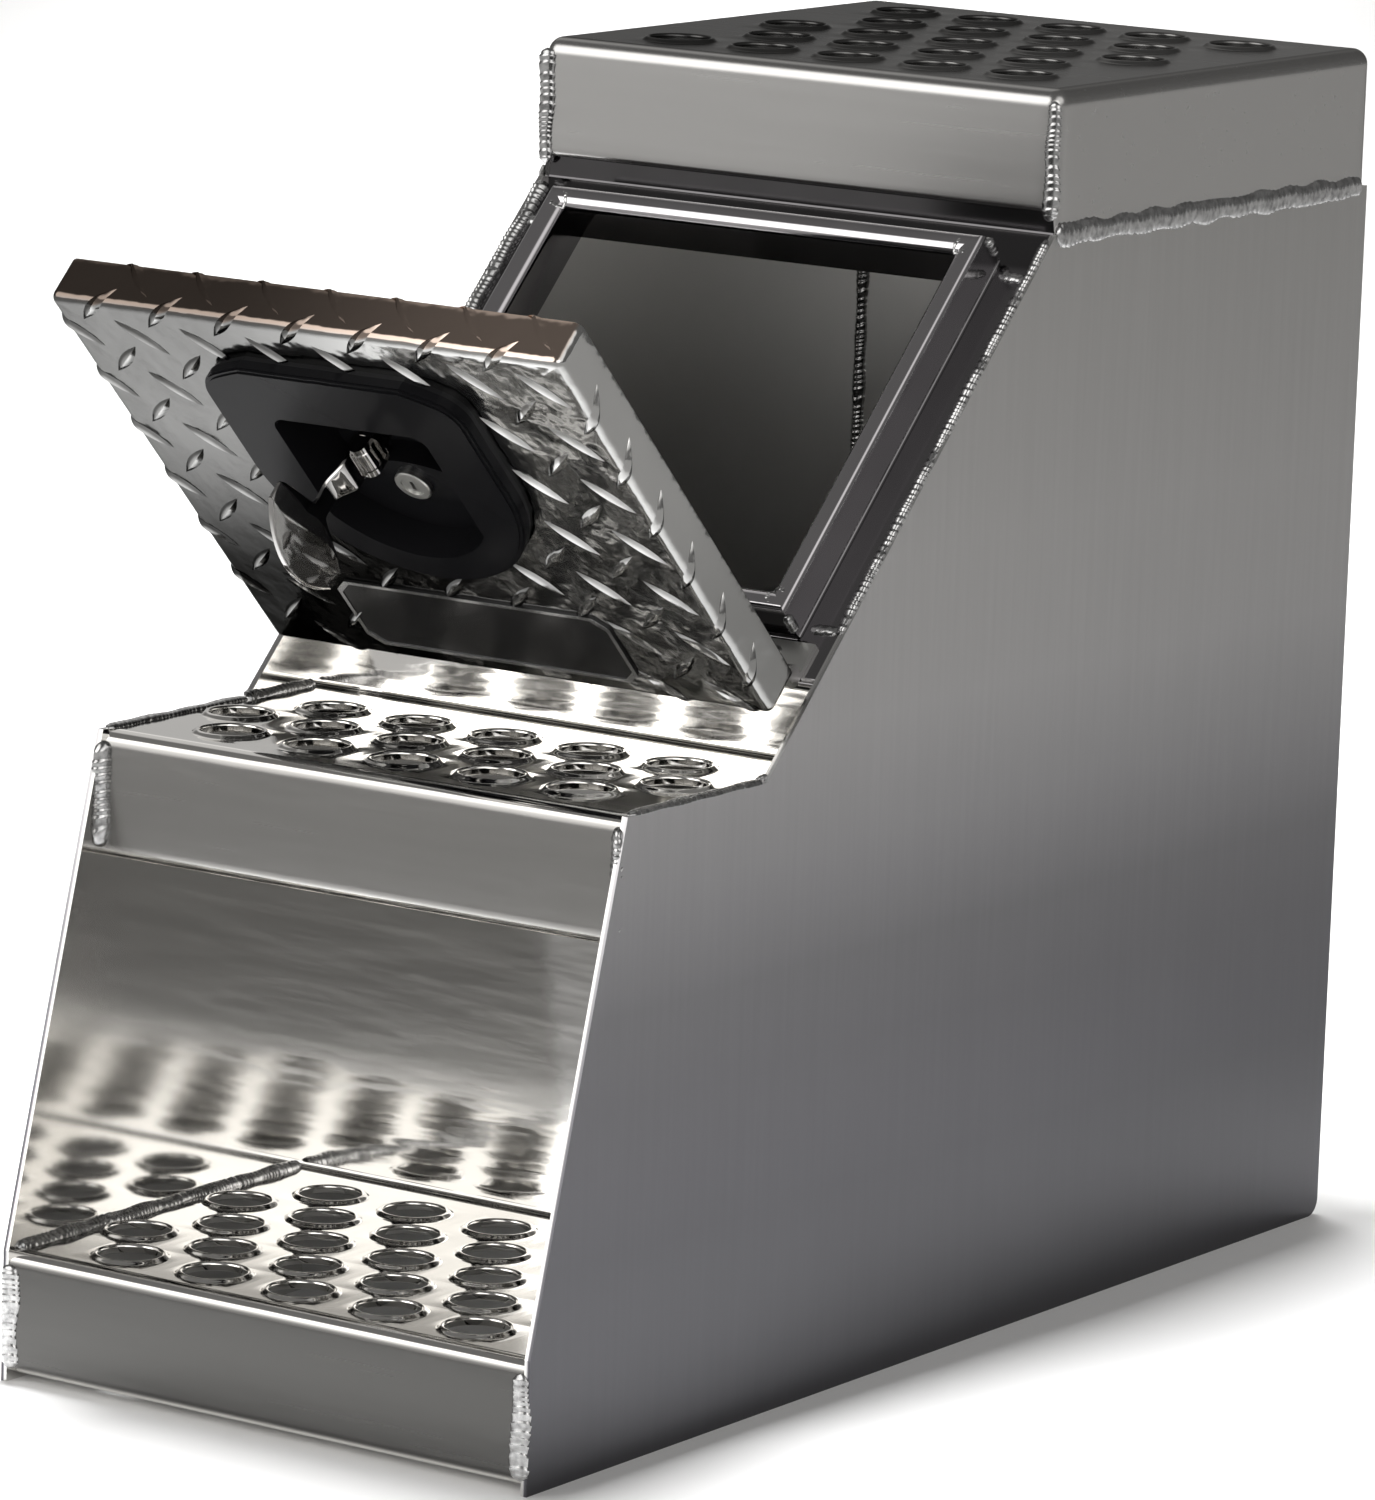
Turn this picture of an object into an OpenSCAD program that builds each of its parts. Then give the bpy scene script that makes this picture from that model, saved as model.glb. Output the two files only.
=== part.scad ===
// Saddle step box: a welded aluminium truck step with a lockable store behind the upper step.
// Every length is in millimetres. +X is to the right, +Y to the back and +Z up.
// The origin lies on the floor sheet's underside, in the middle of the box's width and depth.

/* [Box] */
// Width over the side panels
box_w = 304.8; // [270:1:360]
// Depth from the lower step's face to the back sheet
box_d = 711.2; // [690:1:760]
// Height to the top tread
box_h = 609.6; // [600:1:640]
// Thickness of the box's aluminium sheet
sheet_t = 3.2; // [2.5:0.1:3.6]
// Inside radius of the folds at the tread noses
nose_r = 4.8; // [3:0.1:6]
// Inside radius of the folds where a tread meets a wall
root_r = 3; // [1.5:0.1:5]
// Outside radius of the folds round the floor and up the back
back_fold_r = 9; // [6:0.5:14]

/* [Steps] */
// Height of the lower tread
low_tread_z = 63.5; // [55:0.5:80]
// Gap from the ground to the lower step's front flange
low_flange_gap = 4.2; // [2:0.1:10]
// Depth of the lower tread, from its face to the wall behind it
low_tread_d = 228.6; // [224:0.5:235]
// Height from the middle tread up to the top tread
upper_rise = 304.8; // [290:0.5:312]
// Set-back of the middle step's face from the lower one
mid_set_back = 63.5; // [55:0.5:66]
// Height of the middle step's front flange
mid_flange_h = 61.8; // [45:0.5:75]
// Distance from the slope's foot back to the riser over the middle tread
riser_set = 55; // [54:0.5:62]
// Height that the floor sheet's front edge laps up behind the lower tread
floor_lap = 26; // [20:0.5:40]
// Length of the turned-in edges under the step flanges
hem_len = 14; // [10:0.5:18]

/* [Top cap] */
// Depth of the top tread
cap_d = 300.4; // [280:0.5:310]
// Height of the cap's side and back flanges
cap_side_h = 70; // [60:0.5:85]
// Height of the cap's front flange
cap_front_h = 59.7; // [50:0.5:63]
// Outside radius of the cap's folds
cap_fold_r = 8; // [5:0.5:12]

/* [Tread holes] */
// Radius of each raised hole
hole_r = 15.5; // [12:0.1:16]
// Width of the rim round each hole
rim_w = 2; // [1:0.1:2.4]
// Height that each rim is drawn up above the tread
rim_h = 3; // [2:0.1:3.2]
// Distance between the holes of one row
hole_pitch = 50.4; // [46:0.1:50.6]
// Distance between the rows of the lower tread
low_row_pitch = 39.4; // [37:0.1:40]
// Distance between the rows of the middle tread
mid_row_pitch = 39.9; // [37:0.1:41]
// Distance between the rows of the top tread
top_row_pitch = 51.9; // [48:0.1:54]
// Distance from the lower step's face to its first row
low_row_start = 30.6; // [30:0.1:34]
// Distance from the middle step's face to its first row
mid_row_start = 36.5; // [33:0.1:39]
// Distance from the cap's front to its first row
top_row_start = 39.8; // [36:0.1:44]
// Sideways shift of the top tread's holes
top_hole_shift = 4; // [-6:0.5:6]

/* [Door frame] */
// Thickness of the frame's sheet
frame_t = 2.5; // [2:0.1:3]
// Depth of the frame's band below the side panels' edges
band_set = 2.8; // [2:0.1:5]
// Height of the weather lip above the side panels' edges
lip_rise = 18; // [16:0.5:19]
// Width of the weather lip over its folds
lip_w = 12; // [10:0.5:14]
// Distance that the lip's inner wall runs below the panels' edges
lip_back = 8; // [6:0.5:9]
// Inside radius of the frame's folds
frame_fold_r = 2; // [1:0.1:2.4]
// Distance from the box's side to the opening
opening_side = 37.4; // [36:0.1:42]
// Distance along the slope from its foot to the opening
opening_low = 96; // [94:0.5:104]
// Distance along the slope from the opening to the cap
opening_high = 29; // [27:0.5:34]
// Distance along the slope from its foot to the sill's nose
sill_nose = 50.5; // [47:0.5:52]
// Length of the shelf that the sill folds back to
sill_shelf = 27; // [24:0.5:32]
// Gap from the cap's face back to the frame's upright flange
header_gap = 4.6; // [4:0.1:6]

/* [Door] */
// Distance that the door passes the opening at each side
door_side_lap = 29.5; // [28:0.1:31]
// Distance that the door passes the opening at the top
door_top_lap = 19.9; // [18:0.1:21]
// Depth of the door's flanges
door_depth = 24; // [23:0.5:26]
// Thickness of the door's tread plate without its lugs
door_t = 2.5; // [2:0.1:3]
// Outside radius of the door's folds
door_fold_r = 4.5; // [3.5:0.1:6]
// Distance between lugs of one direction
lug_pitch = 37.8; // [34:0.1:44]
// Length of a lug
lug_len = 30; // [24:0.5:31]
// Width of a lug
lug_w = 7.5; // [6:0.1:9]
// Height of a lug
lug_h = 1; // [0.6:0.1:1.4]
// Sideways place of the first lug from the door's middle
lug_start_x = 12.8; // [0:0.1:18]
// Height of the first lug over the door's lower edge
lug_start_v = 10.4; // [0:0.1:18]
// Gap that the shut door's seal is left over the lip
seal_gap = 0.3; // [0.2:0.05:0.6]
// Width of the seal
seal_w = 15; // [12:0.5:16]

/* [Hinge] */
// Distance along the slope from its foot to the hinge axis
hinge_s = 58; // [57:0.5:60]
// Radius of the hinge's knuckles
knuckle_r = 5.7; // [5.2:0.1:6.2]
// Radius of the hinge pin
pin_r = 3; // [2.4:0.1:3.2]
// Thickness of the hinge's leaves
leaf_t = 2.5; // [1.8:0.1:2.6]
// Width of the frame's leaf from the axis
frame_leaf_w = 22; // [20:0.5:23]
// Gap between the hinge axis and the edge of the door's flange
hinge_gap = 2.9; // [2:0.1:3.5]
// Amount that the hinge is shorter than the door
hinge_short = 10; // [6:1:20]
// Distance from the hinge axis to the rivets in the door's leaf
door_rivet_set = 14; // [12:0.5:16]
// Number of knuckles along the hinge
knuckle_n = 11; // [7:2:15]
// Number of rivets in each leaf
rivet_n = 7; // [5:1:9]
// Radius of the rivets' shanks
rivet_r = 2.4; // [1.6:0.1:2.8]

/* [Latch] */
// Sideways place of the latch on the door
latch_x = 2.5; // [-5:0.5:8]
// Height of the handle's spindle above the door's lower edge
spindle_v = 178; // [174:0.5:180]
// Radius of the dish's round end
dish_r = 73.5; // [70:0.5:76]
// Distance from the spindle down to the middle of the dish's round end
dish_drop = 17; // [14:0.5:20]
// Radius of the dish's crowned top
dish_arc_r = 149; // [140:1:160]
// Distance from the middle of the round end down to the crown's centre
dish_arc_drop = 68.5; // [60:0.5:76]
// Radius of the dish's upper corners
dish_corner_r = 18; // [14:0.5:22]
// Height of the dish's rim over its gasket
dish_h = 6.5; // [5:0.1:7]
// Thickness of the gasket under the dish
gasket_t = 3; // [2:0.1:3.2]
// Half width of the finger recess
recess_w = 43.5; // [41:0.5:46]
// Depth of the finger recess below the door's face
recess_depth = 20; // [18:0.5:21]
// Distance from the spindle up to the recess's top
recess_rise = 22; // [20:0.5:24]
// Distance from the spindle down to the centre of the recess's round end
recess_drop = 21; // [19:0.5:23]
// Amount that the round end's radius is larger than the recess's half width
recess_bulge = 8.5; // [7:0.5:10]
// Distance from the spindle down to the lock shelf's upper edge
shelf_drop = 24; // [22:0.5:26]
// Depth of the lock's shelf below the door's face
shelf_depth = 8; // [7:0.5:10]
// Height of the lock's face over its shelf
lock_h = 3; // [2:0.1:4]
// Wall thickness of the dish
dish_t = 2.5; // [2:0.1:3]
// Radius of the spindle
spindle_r = 6; // [5:0.1:7]
// Reach of the cam from the spindle's axis
cam_reach = 70; // [67:0.5:72]
// Radius of the lock cylinder
lock_r = 6; // [5:0.1:7]
// Distance from the spindle to the lock
lock_drop = 39; // [37:0.5:41]
// Length of the handle from its pin to the outer edge
handle_len = 66.5; // [60:0.5:68]
// Length of the handle's grip
grip_len = 68; // [60:0.5:70]
// Radius of the grip's bowed outer edge
bow_r = 48; // [46:0.5:60]
// Distance from the grip's outer edge to the strap's end
grip_depth = 33; // [28:0.5:36]
// Radius of the lock shelf's curved upper edge
shelf_r = 60; // [56:0.5:64]
// Distance of the lower latch screws from the dish's sides
screw_in = 11.5; // [10:0.5:13]
// Distance of the lower latch screws below the middle of the dish's round end
screw_drop = 11; // [8:0.5:14]

/* [Hidden] */
$fn = 48;

// A small length that makes cutting tools pass right through
cut = 1;
// Radial clearance of every running fit
fit = 0.05;
// Side clearance between parts that turn past each other
side_gap = 0.3;

inner_w = box_w - 2 * sheet_t;
mid_tread_z = box_h - upper_rise;
slope_angle = 45;
cap_y = box_d - cap_d;
seam_z = box_h - cap_side_h;
cap_lip_z = box_h - cap_front_h;
slope_y = cap_y - (seam_z - mid_tread_z) / tan(slope_angle);
slope_len = (seam_z - mid_tread_z) / sin(slope_angle);
riser_y = slope_y + riser_set;
nose_out_r = nose_r + sheet_t;
rim_reach = hole_r + rim_w + rim_h;

// The door frame, in the slope's own axes: x across, y up the slope, z out of it
open_w = box_w / 2 - opening_side;
open_lo = opening_low;
open_hi = slope_len - opening_high;
lip_lo = open_lo - lip_w;
lip_hi = open_hi + lip_w;
jamb_lo = open_lo - lip_w / 2;
jamb_hi = open_hi + lip_w / 4;
// Up-slope place of the header's bend, where the band meets the upright flange
bend_s = ((cap_y + header_gap - slope_y) - band_set * sin(slope_angle)) / cos(slope_angle);
bend_z = mid_tread_z + bend_s * sin(slope_angle) - band_set * cos(slope_angle);
upright_h = cap_lip_z - bend_z;
shelf_z = mid_tread_z + sill_nose * sin(slope_angle) - band_set * cos(slope_angle);

// The hinge and the door, whose own axes are x across, y up the door, z out of its face
hinge_off = knuckle_r - band_set;
door_w = 2 * (open_w + door_side_lap);
door_base = hinge_s + knuckle_r;
door_h = open_hi + door_top_lap - door_base;
pin_p = -door_depth - hinge_gap;
open_s = hinge_s + pin_p;
open_off = hinge_off + knuckle_r;
shut_face = hinge_off - pin_p;
knuckle_pitch = (door_w - hinge_short) / knuckle_n;
hinge_len = knuckle_pitch * knuckle_n;
rivet_pitch = hinge_len / rivet_n;
frame_rivet_s = hinge_s + (knuckle_r + frame_leaf_w) / 2;
door_rivet_p = pin_p + door_rivet_set;
door_leaf_w = door_depth + hinge_gap - door_fold_r;
rivet_head_r = 2 * rivet_r;
rivet_head_h = 1.6;
rivet_tail_h = 1;
seal_h = shut_face - door_t - lip_rise - seal_gap;

// The latch
dish_mid_v = spindle_v - dish_drop;
dish_arc_v = dish_mid_v - dish_arc_drop;
dish_top = gasket_t + dish_h;
corner_x = dish_r - dish_corner_r;
corner_v = dish_arc_v + sqrt(pow(dish_arc_r - dish_corner_r, 2) - pow(corner_x, 2));
recess_top_v = spindle_v + recess_rise;
recess_arc_r = recess_w + recess_bulge;
recess_arc_v = spindle_v - recess_drop;
shelf_top_v = spindle_v - shelf_drop;
shelf_p = -shelf_depth;
lock_v = spindle_v - lock_drop;
lock_face_p = shelf_p + lock_h;
plate_t = 5;
plate_gap = 1.5;
pivot_p = dish_top - plate_gap + side_gap;
cheek_t = 3;
eye_w = 12;
eye_r = 4.8;
handle_pin_r = 2.2;
arm_w = 17.5;
collar_half = 8;
collar_top_p = -29;
collar_t = 8;
cam_top_p = -39.6;
cam_t = 4;
cam_w = 18;
washer_t = cam_top_p * -1 + collar_top_p - collar_t;
nut_h = 6;
tongue_p = -34;
tongue_t = 3;
tongue_w = 8;
tongue_len = lock_drop - collar_half - side_gap;
screw_r = 2.5;
screw_head_r = 4.6;
screw_head_h = 4;
lock_wall = 2.5;
lock_flange = 3.5;
lock_edge = 0.6;
lock_sunk = 0.8;
key_w = 1.8;
key_h = 5.6;
key_depth = 6;
hub_r = 9.5;
hub_h = 4;
washer_r = 11;
nut_r = 9.5;
rim_step = 2;
frame_seam_w = 6;
frame_seam_h = 1.2;
lip_bead_r = 2.2;
door_bead_leg = 2;
plate_half = 78.5;
plate_x = -1.5;
plate_low = 12;
plate_high = 61;
plate_chamfer = 7;
plate_h = 1.5;
plate_border = 2;
plate_pocket = 0.4;

// Beads of weld: the leg of a corner bead, and the width and height of one on a flat seam
bead_leg = 2.6;
seam_w = 9;
seam_h = 1.5;
cap_seam_w = 12;
edge_seam_w = 5.4;
cap_seam_h = 2;

function unit(v) = v / norm(v);
function left(v) = [-v[1], v[0]];
function along(path, i) = unit(path[i + 1] - path[i]);
// Point i of a path moved sideways by t, with mitred corners
function shifted(path, i, t) =
    let (n = len(path))
    i == 0 ? path[0] + t * left(along(path, 0))
    : i == n - 1 ? path[n - 1] + t * left(along(path, n - 2))
    : let (a = left(along(path, i - 1)), b = left(along(path, i)))
        path[i] + t * (a + b) / (1 + a * b);

// The wedge between a corner and the centre of its round, without the round's own circle
module corner_sliver(corner, a, b, centre, r, reach) {
    tip = corner + unit(corner - centre) * reach;
    difference() {
        polygon([corner + a * ((centre - corner) * a), tip,
            corner + b * ((centre - corner) * b), centre]);
        translate(centre) circle(r);
    }
}

// A folded sheet's section: the path is the outer face, the metal lies to its left,
// and radii gives the inside radius of each fold
module folded(path, radii, t) {
    n = len(path);
    difference() {
        union() {
            polygon(concat(path, [for (i = [n - 1:-1:0]) shifted(path, i, t)]));
            for (i = [1:n - 2]) {
                a = along(path, i - 1);
                b = along(path, i);
                turn = cross(a, b) > 0 ? 1 : -1;
                r = radii[i - 1];
                corner = turn > 0 ? shifted(path, i, t) : path[i];
                centre = turn > 0 ? shifted(path, i, t + r) : shifted(path, i, -r);
                corner_sliver(corner, a, b, centre, r, t * 0.4);
            }
        }
        for (i = [1:n - 2]) {
            a = along(path, i - 1);
            b = along(path, i);
            turn = cross(a, b) > 0 ? 1 : -1;
            r = radii[i - 1];
            corner = turn > 0 ? path[i] : shifted(path, i, t);
            centre = turn > 0 ? shifted(path, i, t + r) : shifted(path, i, -r);
            corner_sliver(corner, a, b, centre, r + t, t);
        }
    }
}

// A rectangle with round corners of radius r at the chosen ends
module round_rect(low, high, r, low_round = true, high_round = true) {
    difference() {
        translate(low) square(high - low);
        for (sx = [0, 1], sy = [0, 1])
            if (sy == 0 ? low_round : high_round)
                translate([sx == 0 ? low[0] : high[0], sy == 0 ? low[1] : high[1]])
                    mirror([sx, 0]) mirror([0, sy])
                        difference() {
                            translate([-cut, -cut]) square(r + cut);
                            translate([r, r]) circle(r);
                        }
    }
}

// Moves the box's axes from the lower step's face to the origin
module placed() translate([0, -box_d / 2, 0]) children();
// Extrudes a (y, z) section across the box, from x0 to x1
module across(x0, x1) translate([x0, 0, 0]) rotate([90, 0, 90]) linear_extrude(x1 - x0) children();
// Extrudes an (x, z) section along y, from y0 to y1
module lengthwise(y0, y1) translate([0, y1, 0]) rotate([90, 0, 0]) linear_extrude(y1 - y0) children();
// The slope's own axes, with the origin at its foot
module on_slope() placed() translate([0, slope_y, mid_tread_z]) rotate([slope_angle, 0, 0]) children();
// The open door's own axes
module on_door() on_slope() translate([0, open_s, open_off]) rotate([90, 0, 0]) children();
// Repeats a piece at both sides
module both_sides() for (s = [0, 1]) mirror([s, 0, 0]) children();

// The number of holes that a long row has room for in a tread of the given width
function hole_count(width) = floor((width - 2 * rim_reach) / hole_pitch) + 1;
// The number of rows that a tread of the given depth has room for in front of its rear fold
function row_count(depth, start, pitch) = floor((depth - start - rim_reach - root_r) / pitch) + 1;
// The places of a tread's holes: every other row has one hole less than the long rows
module hole_places(rows, start, pitch, long_n, long_first, shift = 0)
    for (row = [0:rows - 1])
        let (n = (row % 2 == 0) == long_first ? long_n : long_n - 1)
            for (k = [0:n - 1])
                translate([shift + (k - (n - 1) / 2) * hole_pitch, start + row * pitch, 0]) children();

// The section of a drawn hole's rim, with the tread's top at height 0
module rim_section() {
    bell = rim_w + rim_h;
    difference() {
        translate([hole_r, -sheet_t]) square([bell + cut, sheet_t + rim_h]);
        translate([rim_reach, rim_h]) circle(rim_h);
        translate([rim_reach, 0]) square([2 * cut, rim_h + cut]);
        difference() {
            translate([hole_r - cut, -sheet_t - cut]) square([bell + cut, bell + cut]);
            translate([rim_reach, bell - sheet_t]) circle(bell);
        }
    }
}

// Draws raised holes through a sheet whose top lies at height z
module pierced(z, rows, start, pitch, long_n, long_first, shift = 0) {
    difference() {
        children();
        hole_places(rows, start, pitch, long_n, long_first, shift)
            translate([0, 0, z - sheet_t - cut]) cylinder(r = rim_reach, h = sheet_t + 2 * cut);
    }
    hole_places(rows, start, pitch, long_n, long_first, shift)
        translate([0, 0, z]) rotate_extrude() rim_section();
}

module side_panel() placed() across(inner_w / 2, box_w / 2)
    difference() {
        polygon([[0, 0], [0, low_tread_z], [mid_set_back, mid_tread_z], [slope_y, mid_tread_z],
            [cap_y, seam_z], [box_d, seam_z], [box_d, 0]]);
        corner_sliver([box_d, 0], [1, 0], [0, 1], [box_d - back_fold_r, back_fold_r], back_fold_r, cut);
    }
module left_side_panel() color("silver") mirror([1, 0, 0]) side_panel();
module right_side_panel() color("silver") side_panel();

module lower_step_sheet() color("gainsboro") placed()
    pierced(low_tread_z, row_count(low_tread_d, low_row_start, low_row_pitch), low_row_start,
        low_row_pitch, hole_count(inner_w), false)
        across(-inner_w / 2, inner_w / 2)
            folded([[low_tread_d, mid_tread_z - sheet_t], [low_tread_d, low_tread_z], [0, low_tread_z],
                [0, low_flange_gap], [hem_len, low_flange_gap]], [root_r, nose_r, root_r], sheet_t);

module middle_step_sheet() color("gainsboro") placed()
    pierced(mid_tread_z, row_count(riser_y - mid_set_back, mid_row_start, mid_row_pitch),
        mid_set_back + mid_row_start, mid_row_pitch, hole_count(inner_w), false)
        across(-inner_w / 2, inner_w / 2)
            folded([[riser_y, shelf_z], [riser_y, mid_tread_z], [mid_set_back, mid_tread_z],
                [mid_set_back, mid_tread_z - mid_flange_h],
                [mid_set_back + hem_len, mid_tread_z - mid_flange_h]],
                [root_r, nose_r, nose_r], sheet_t);

// The space inside the cap's folds when d is the sheet's thickness, or its outside when d is 0
module cap_block(d) {
    r = cap_fold_r - d;
    low = seam_z - (d > 0 ? cut : 0);
    intersection() {
        across(-box_w / 2 + d, box_w / 2 - d)
            round_rect([cap_y + d, low], [box_d - d, box_h - d], r, low_round = false);
        translate([0, cap_y + d, 0]) lengthwise(0, cap_d - 2 * d)
            round_rect([-box_w / 2 + d, low], [box_w / 2 - d, box_h - d], r, low_round = false);
        translate([0, 0, low]) linear_extrude(cap_side_h + cut)
            round_rect([-box_w / 2 + d, cap_y + d], [box_w / 2 - d, box_d - d], r, low_round = false);
    }
}

module top_step_cap() color("silver") placed() {
    pierced(box_h, row_count(cap_d - cap_fold_r, top_row_start, top_row_pitch),
        cap_y + top_row_start, top_row_pitch, hole_count(box_w - 2 * (cap_fold_r + top_hole_shift)),
        true, top_hole_shift)
        difference() {
            cap_block(0);
            cap_block(sheet_t);
            // The front flange stops short of the slope
            translate([-inner_w / 2, cap_y - cut, seam_z - cut])
                cube([inner_w, sheet_t + 2 * cut, cap_lip_z - seam_z + cut]);
        }
    // The turned-in edge under the front flange, whose fold is rounded outside
    across(-inner_w / 2, inner_w / 2)
        difference() {
            translate([cap_y, cap_lip_z]) square([hem_len, sheet_t]);
            difference() {
                translate([cap_y - cut, cap_lip_z - cut]) square(sheet_t + cut);
                translate([cap_y + sheet_t, cap_lip_z + sheet_t]) circle(sheet_t);
            }
        }
}

module floor_back_sheet() color("silver") placed() across(-inner_w / 2, inner_w / 2)
    folded([[low_tread_d + sheet_t, low_tread_z + floor_lap], [low_tread_d + sheet_t, 0],
        [box_d, 0], [box_d, seam_z]], [back_fold_r - sheet_t, back_fold_r - sheet_t], sheet_t);

// The lip's section in (along, out) axes, from the band round to the inner wall's free edge,
// for an opening edge at 0 with the band on its far side
function lip_path(edge) = [[edge + lip_w, -band_set], [edge + lip_w, lip_rise], [edge, lip_rise],
    [edge, -lip_back]];
lip_radii = [frame_fold_r, frame_fold_r, frame_fold_r];

// Keeps the part of an up-slope piece that lies between the two mitres
module mitred(points) intersection() {
    children();
    translate([0, 0, -lip_back - cut]) linear_extrude(lip_rise + lip_back + 2 * cut) polygon(points);
}

module jamb() on_slope()
    mitred([[inner_w / 2 + cut, jamb_lo], [open_w + lip_w, jamb_lo], [open_w + lip_w, lip_lo],
        [open_w - cut, open_lo + cut], [open_w - cut, open_hi - cut], [open_w + lip_w, lip_hi],
        [open_w + lip_w, jamb_hi], [inner_w / 2 + cut, jamb_hi]])
        lengthwise(lip_lo, lip_hi)
            folded(concat([[inner_w / 2, -band_set]], lip_path(open_w)), lip_radii, frame_t);
module frame_left_jamb() color("darkgray") mirror([1, 0, 0]) jamb();
module frame_right_jamb() color("darkgray") jamb();

module frame_header() color("gray") on_slope() {
    top = [bend_s + upright_h * sin(slope_angle), -band_set + upright_h * cos(slope_angle)];
    mitred([[-open_w - lip_w, lip_hi + cut + bend_s], [-open_w - lip_w, lip_hi],
        [-open_w + cut, open_hi - cut], [open_w - cut, open_hi - cut],
        [open_w + lip_w, lip_hi], [open_w + lip_w, lip_hi + cut + bend_s]])
        across(-open_w - lip_w, open_w + lip_w)
            folded(concat([[bend_s - frame_t - 2 * frame_fold_r, -band_set]], lip_path(open_hi)),
                lip_radii, frame_t);
    across(-inner_w / 2, inner_w / 2)
        folded([top, [bend_s, -band_set], [lip_hi + frame_fold_r, -band_set]], [frame_fold_r], frame_t);
    both_sides() across(open_w + lip_w, inner_w / 2)
        translate([jamb_hi, -band_set - frame_t]) square([lip_hi + 2 * frame_fold_r - jamb_hi, frame_t]);
}

module frame_sill() color("silver") on_slope() {
    difference() {
        union() {
            mitred([[-open_w - lip_w, 0], [-open_w - lip_w, lip_lo], [-open_w + cut, open_lo + cut],
                [open_w - cut, open_lo + cut], [open_w + lip_w, lip_lo], [open_w + lip_w, 0]])
                across(-open_w - lip_w, open_w + lip_w)
                    folded([[open_lo, -lip_back], [open_lo, lip_rise], [lip_lo, lip_rise],
                        [lip_lo, -band_set], [lip_lo - 4 * frame_fold_r, -band_set]], lip_radii, frame_t);
            across(-inner_w / 2, inner_w / 2)
                folded([[lip_lo - frame_fold_r, -band_set], [sill_nose, -band_set],
                    [sill_nose + sill_shelf * cos(slope_angle), -band_set - sill_shelf * sin(slope_angle)]],
                    [1], frame_t);
            both_sides() across(open_w + lip_w, inner_w / 2)
                translate([lip_lo - 2 * frame_fold_r, -band_set - frame_t])
                    square([jamb_lo - lip_lo + 2 * frame_fold_r, frame_t]);
        }
        frame_rivet_places() translate([0, 0, -band_set - frame_t - cut])
            cylinder(r = rivet_r, h = frame_t + 2 * cut);
    }
}

// A bead in an inside corner: its section fills the corner at the origin towards +x and +y
module corner_bead_section(leg = bead_leg) intersection() {
    circle(leg);
    square(leg);
}
// A bead over a flat seam: a low segment that stands on the x axis
module seam_bead_section(w = seam_w, h = seam_h) {
    r = (w * w / 4 + h * h) / (2 * h);
    intersection() {
        translate([0, h - r]) circle(r);
        translate([-w / 2, 0]) square([w, h + cut]);
    }
}
// A flat seam's bead up the front of a step flange, centred on the joint with the side panel
module front_bead(y, z0, z1) translate([box_w / 2 - seam_w / 2, y, z0]) mirror([0, 1, 0])
    linear_extrude(z1 - z0) seam_bead_section();
// A bead along a tread, in the corner between it and a side panel
module tread_bead(y0, y1, z) translate([inner_w / 2, 0, z]) mirror([1, 0, 0]) lengthwise(y0, y1)
    corner_bead_section();

module lower_step_beads() color("lightgray") placed() both_sides() {
    front_bead(0, low_flange_gap + nose_r, low_tread_z - nose_out_r);
    tread_bead(nose_out_r, low_tread_d - root_r, low_tread_z);
}
module middle_step_beads() color("lightgray") placed() both_sides() {
    translate([inner_w / 2, mid_set_back, mid_tread_z - mid_flange_h + nose_out_r])
        rotate([0, 0, 180]) linear_extrude(mid_flange_h - 2 * nose_out_r) corner_bead_section();
    // Along the tread, over the panel's flush edge and then in the corner beside the slope
    translate([(box_w - edge_seam_w) / 2, 0, mid_tread_z])
        lengthwise(mid_set_back + nose_out_r, slope_y - bead_leg) seam_bead_section(edge_seam_w, seam_h);
    tread_bead(slope_y, riser_y - root_r, mid_tread_z);
}

module panel_edge_beads() color("lightgray") on_slope() both_sides()
    translate([inner_w / 2, 0, -band_set]) mirror([1, 0, 0]) lengthwise(jamb_lo, bend_s - 3 * bead_leg)
        corner_bead_section();

module cap_beads() color("lightgray") placed() both_sides() {
    // Up the front corner
    translate([box_w / 2 - seam_w / 2 + 1, cap_y, cap_lip_z]) mirror([0, 1, 0])
        linear_extrude(cap_front_h - cap_fold_r) seam_bead_section();
    // Along the seam between the cap and the side panel
    translate([box_w / 2, 0, seam_z]) lengthwise(cap_y + seam_w / 2, box_d - back_fold_r)
        rotate(-90) seam_bead_section(cap_seam_w, cap_seam_h);
}

module frame_beads() color("lightgray") on_slope() both_sides() {
    // Across the band where the jamb meets the header and the sill
    for (s = [jamb_lo, jamb_hi])
        translate([0, s, -band_set]) across(open_w + lip_w + frame_fold_r, inner_w / 2 - bead_leg)
            seam_bead_section(frame_seam_w, frame_seam_h);
    // Up the lip's outer corners, where its walls meet
    low = -band_set + frame_fold_r + frame_t;
    for (s = [lip_lo, lip_hi])
        translate([open_w + lip_w, s, low]) linear_extrude(lip_rise - frame_fold_r - frame_t - low)
            difference() {
                circle(lip_bead_r);
                translate([-2 * lip_bead_r, s > lip_lo ? -2 * lip_bead_r : 0]) square(2 * lip_bead_r);
            }
}

// Inside the store, up the corners between the back sheet and the side panels
module back_beads() color("lightgray") placed() both_sides()
    translate([inner_w / 2, box_d - sheet_t, 2 * back_fold_r]) rotate([0, 0, 180])
        linear_extrude(seam_z - 3 * back_fold_r) corner_bead_section();

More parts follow.
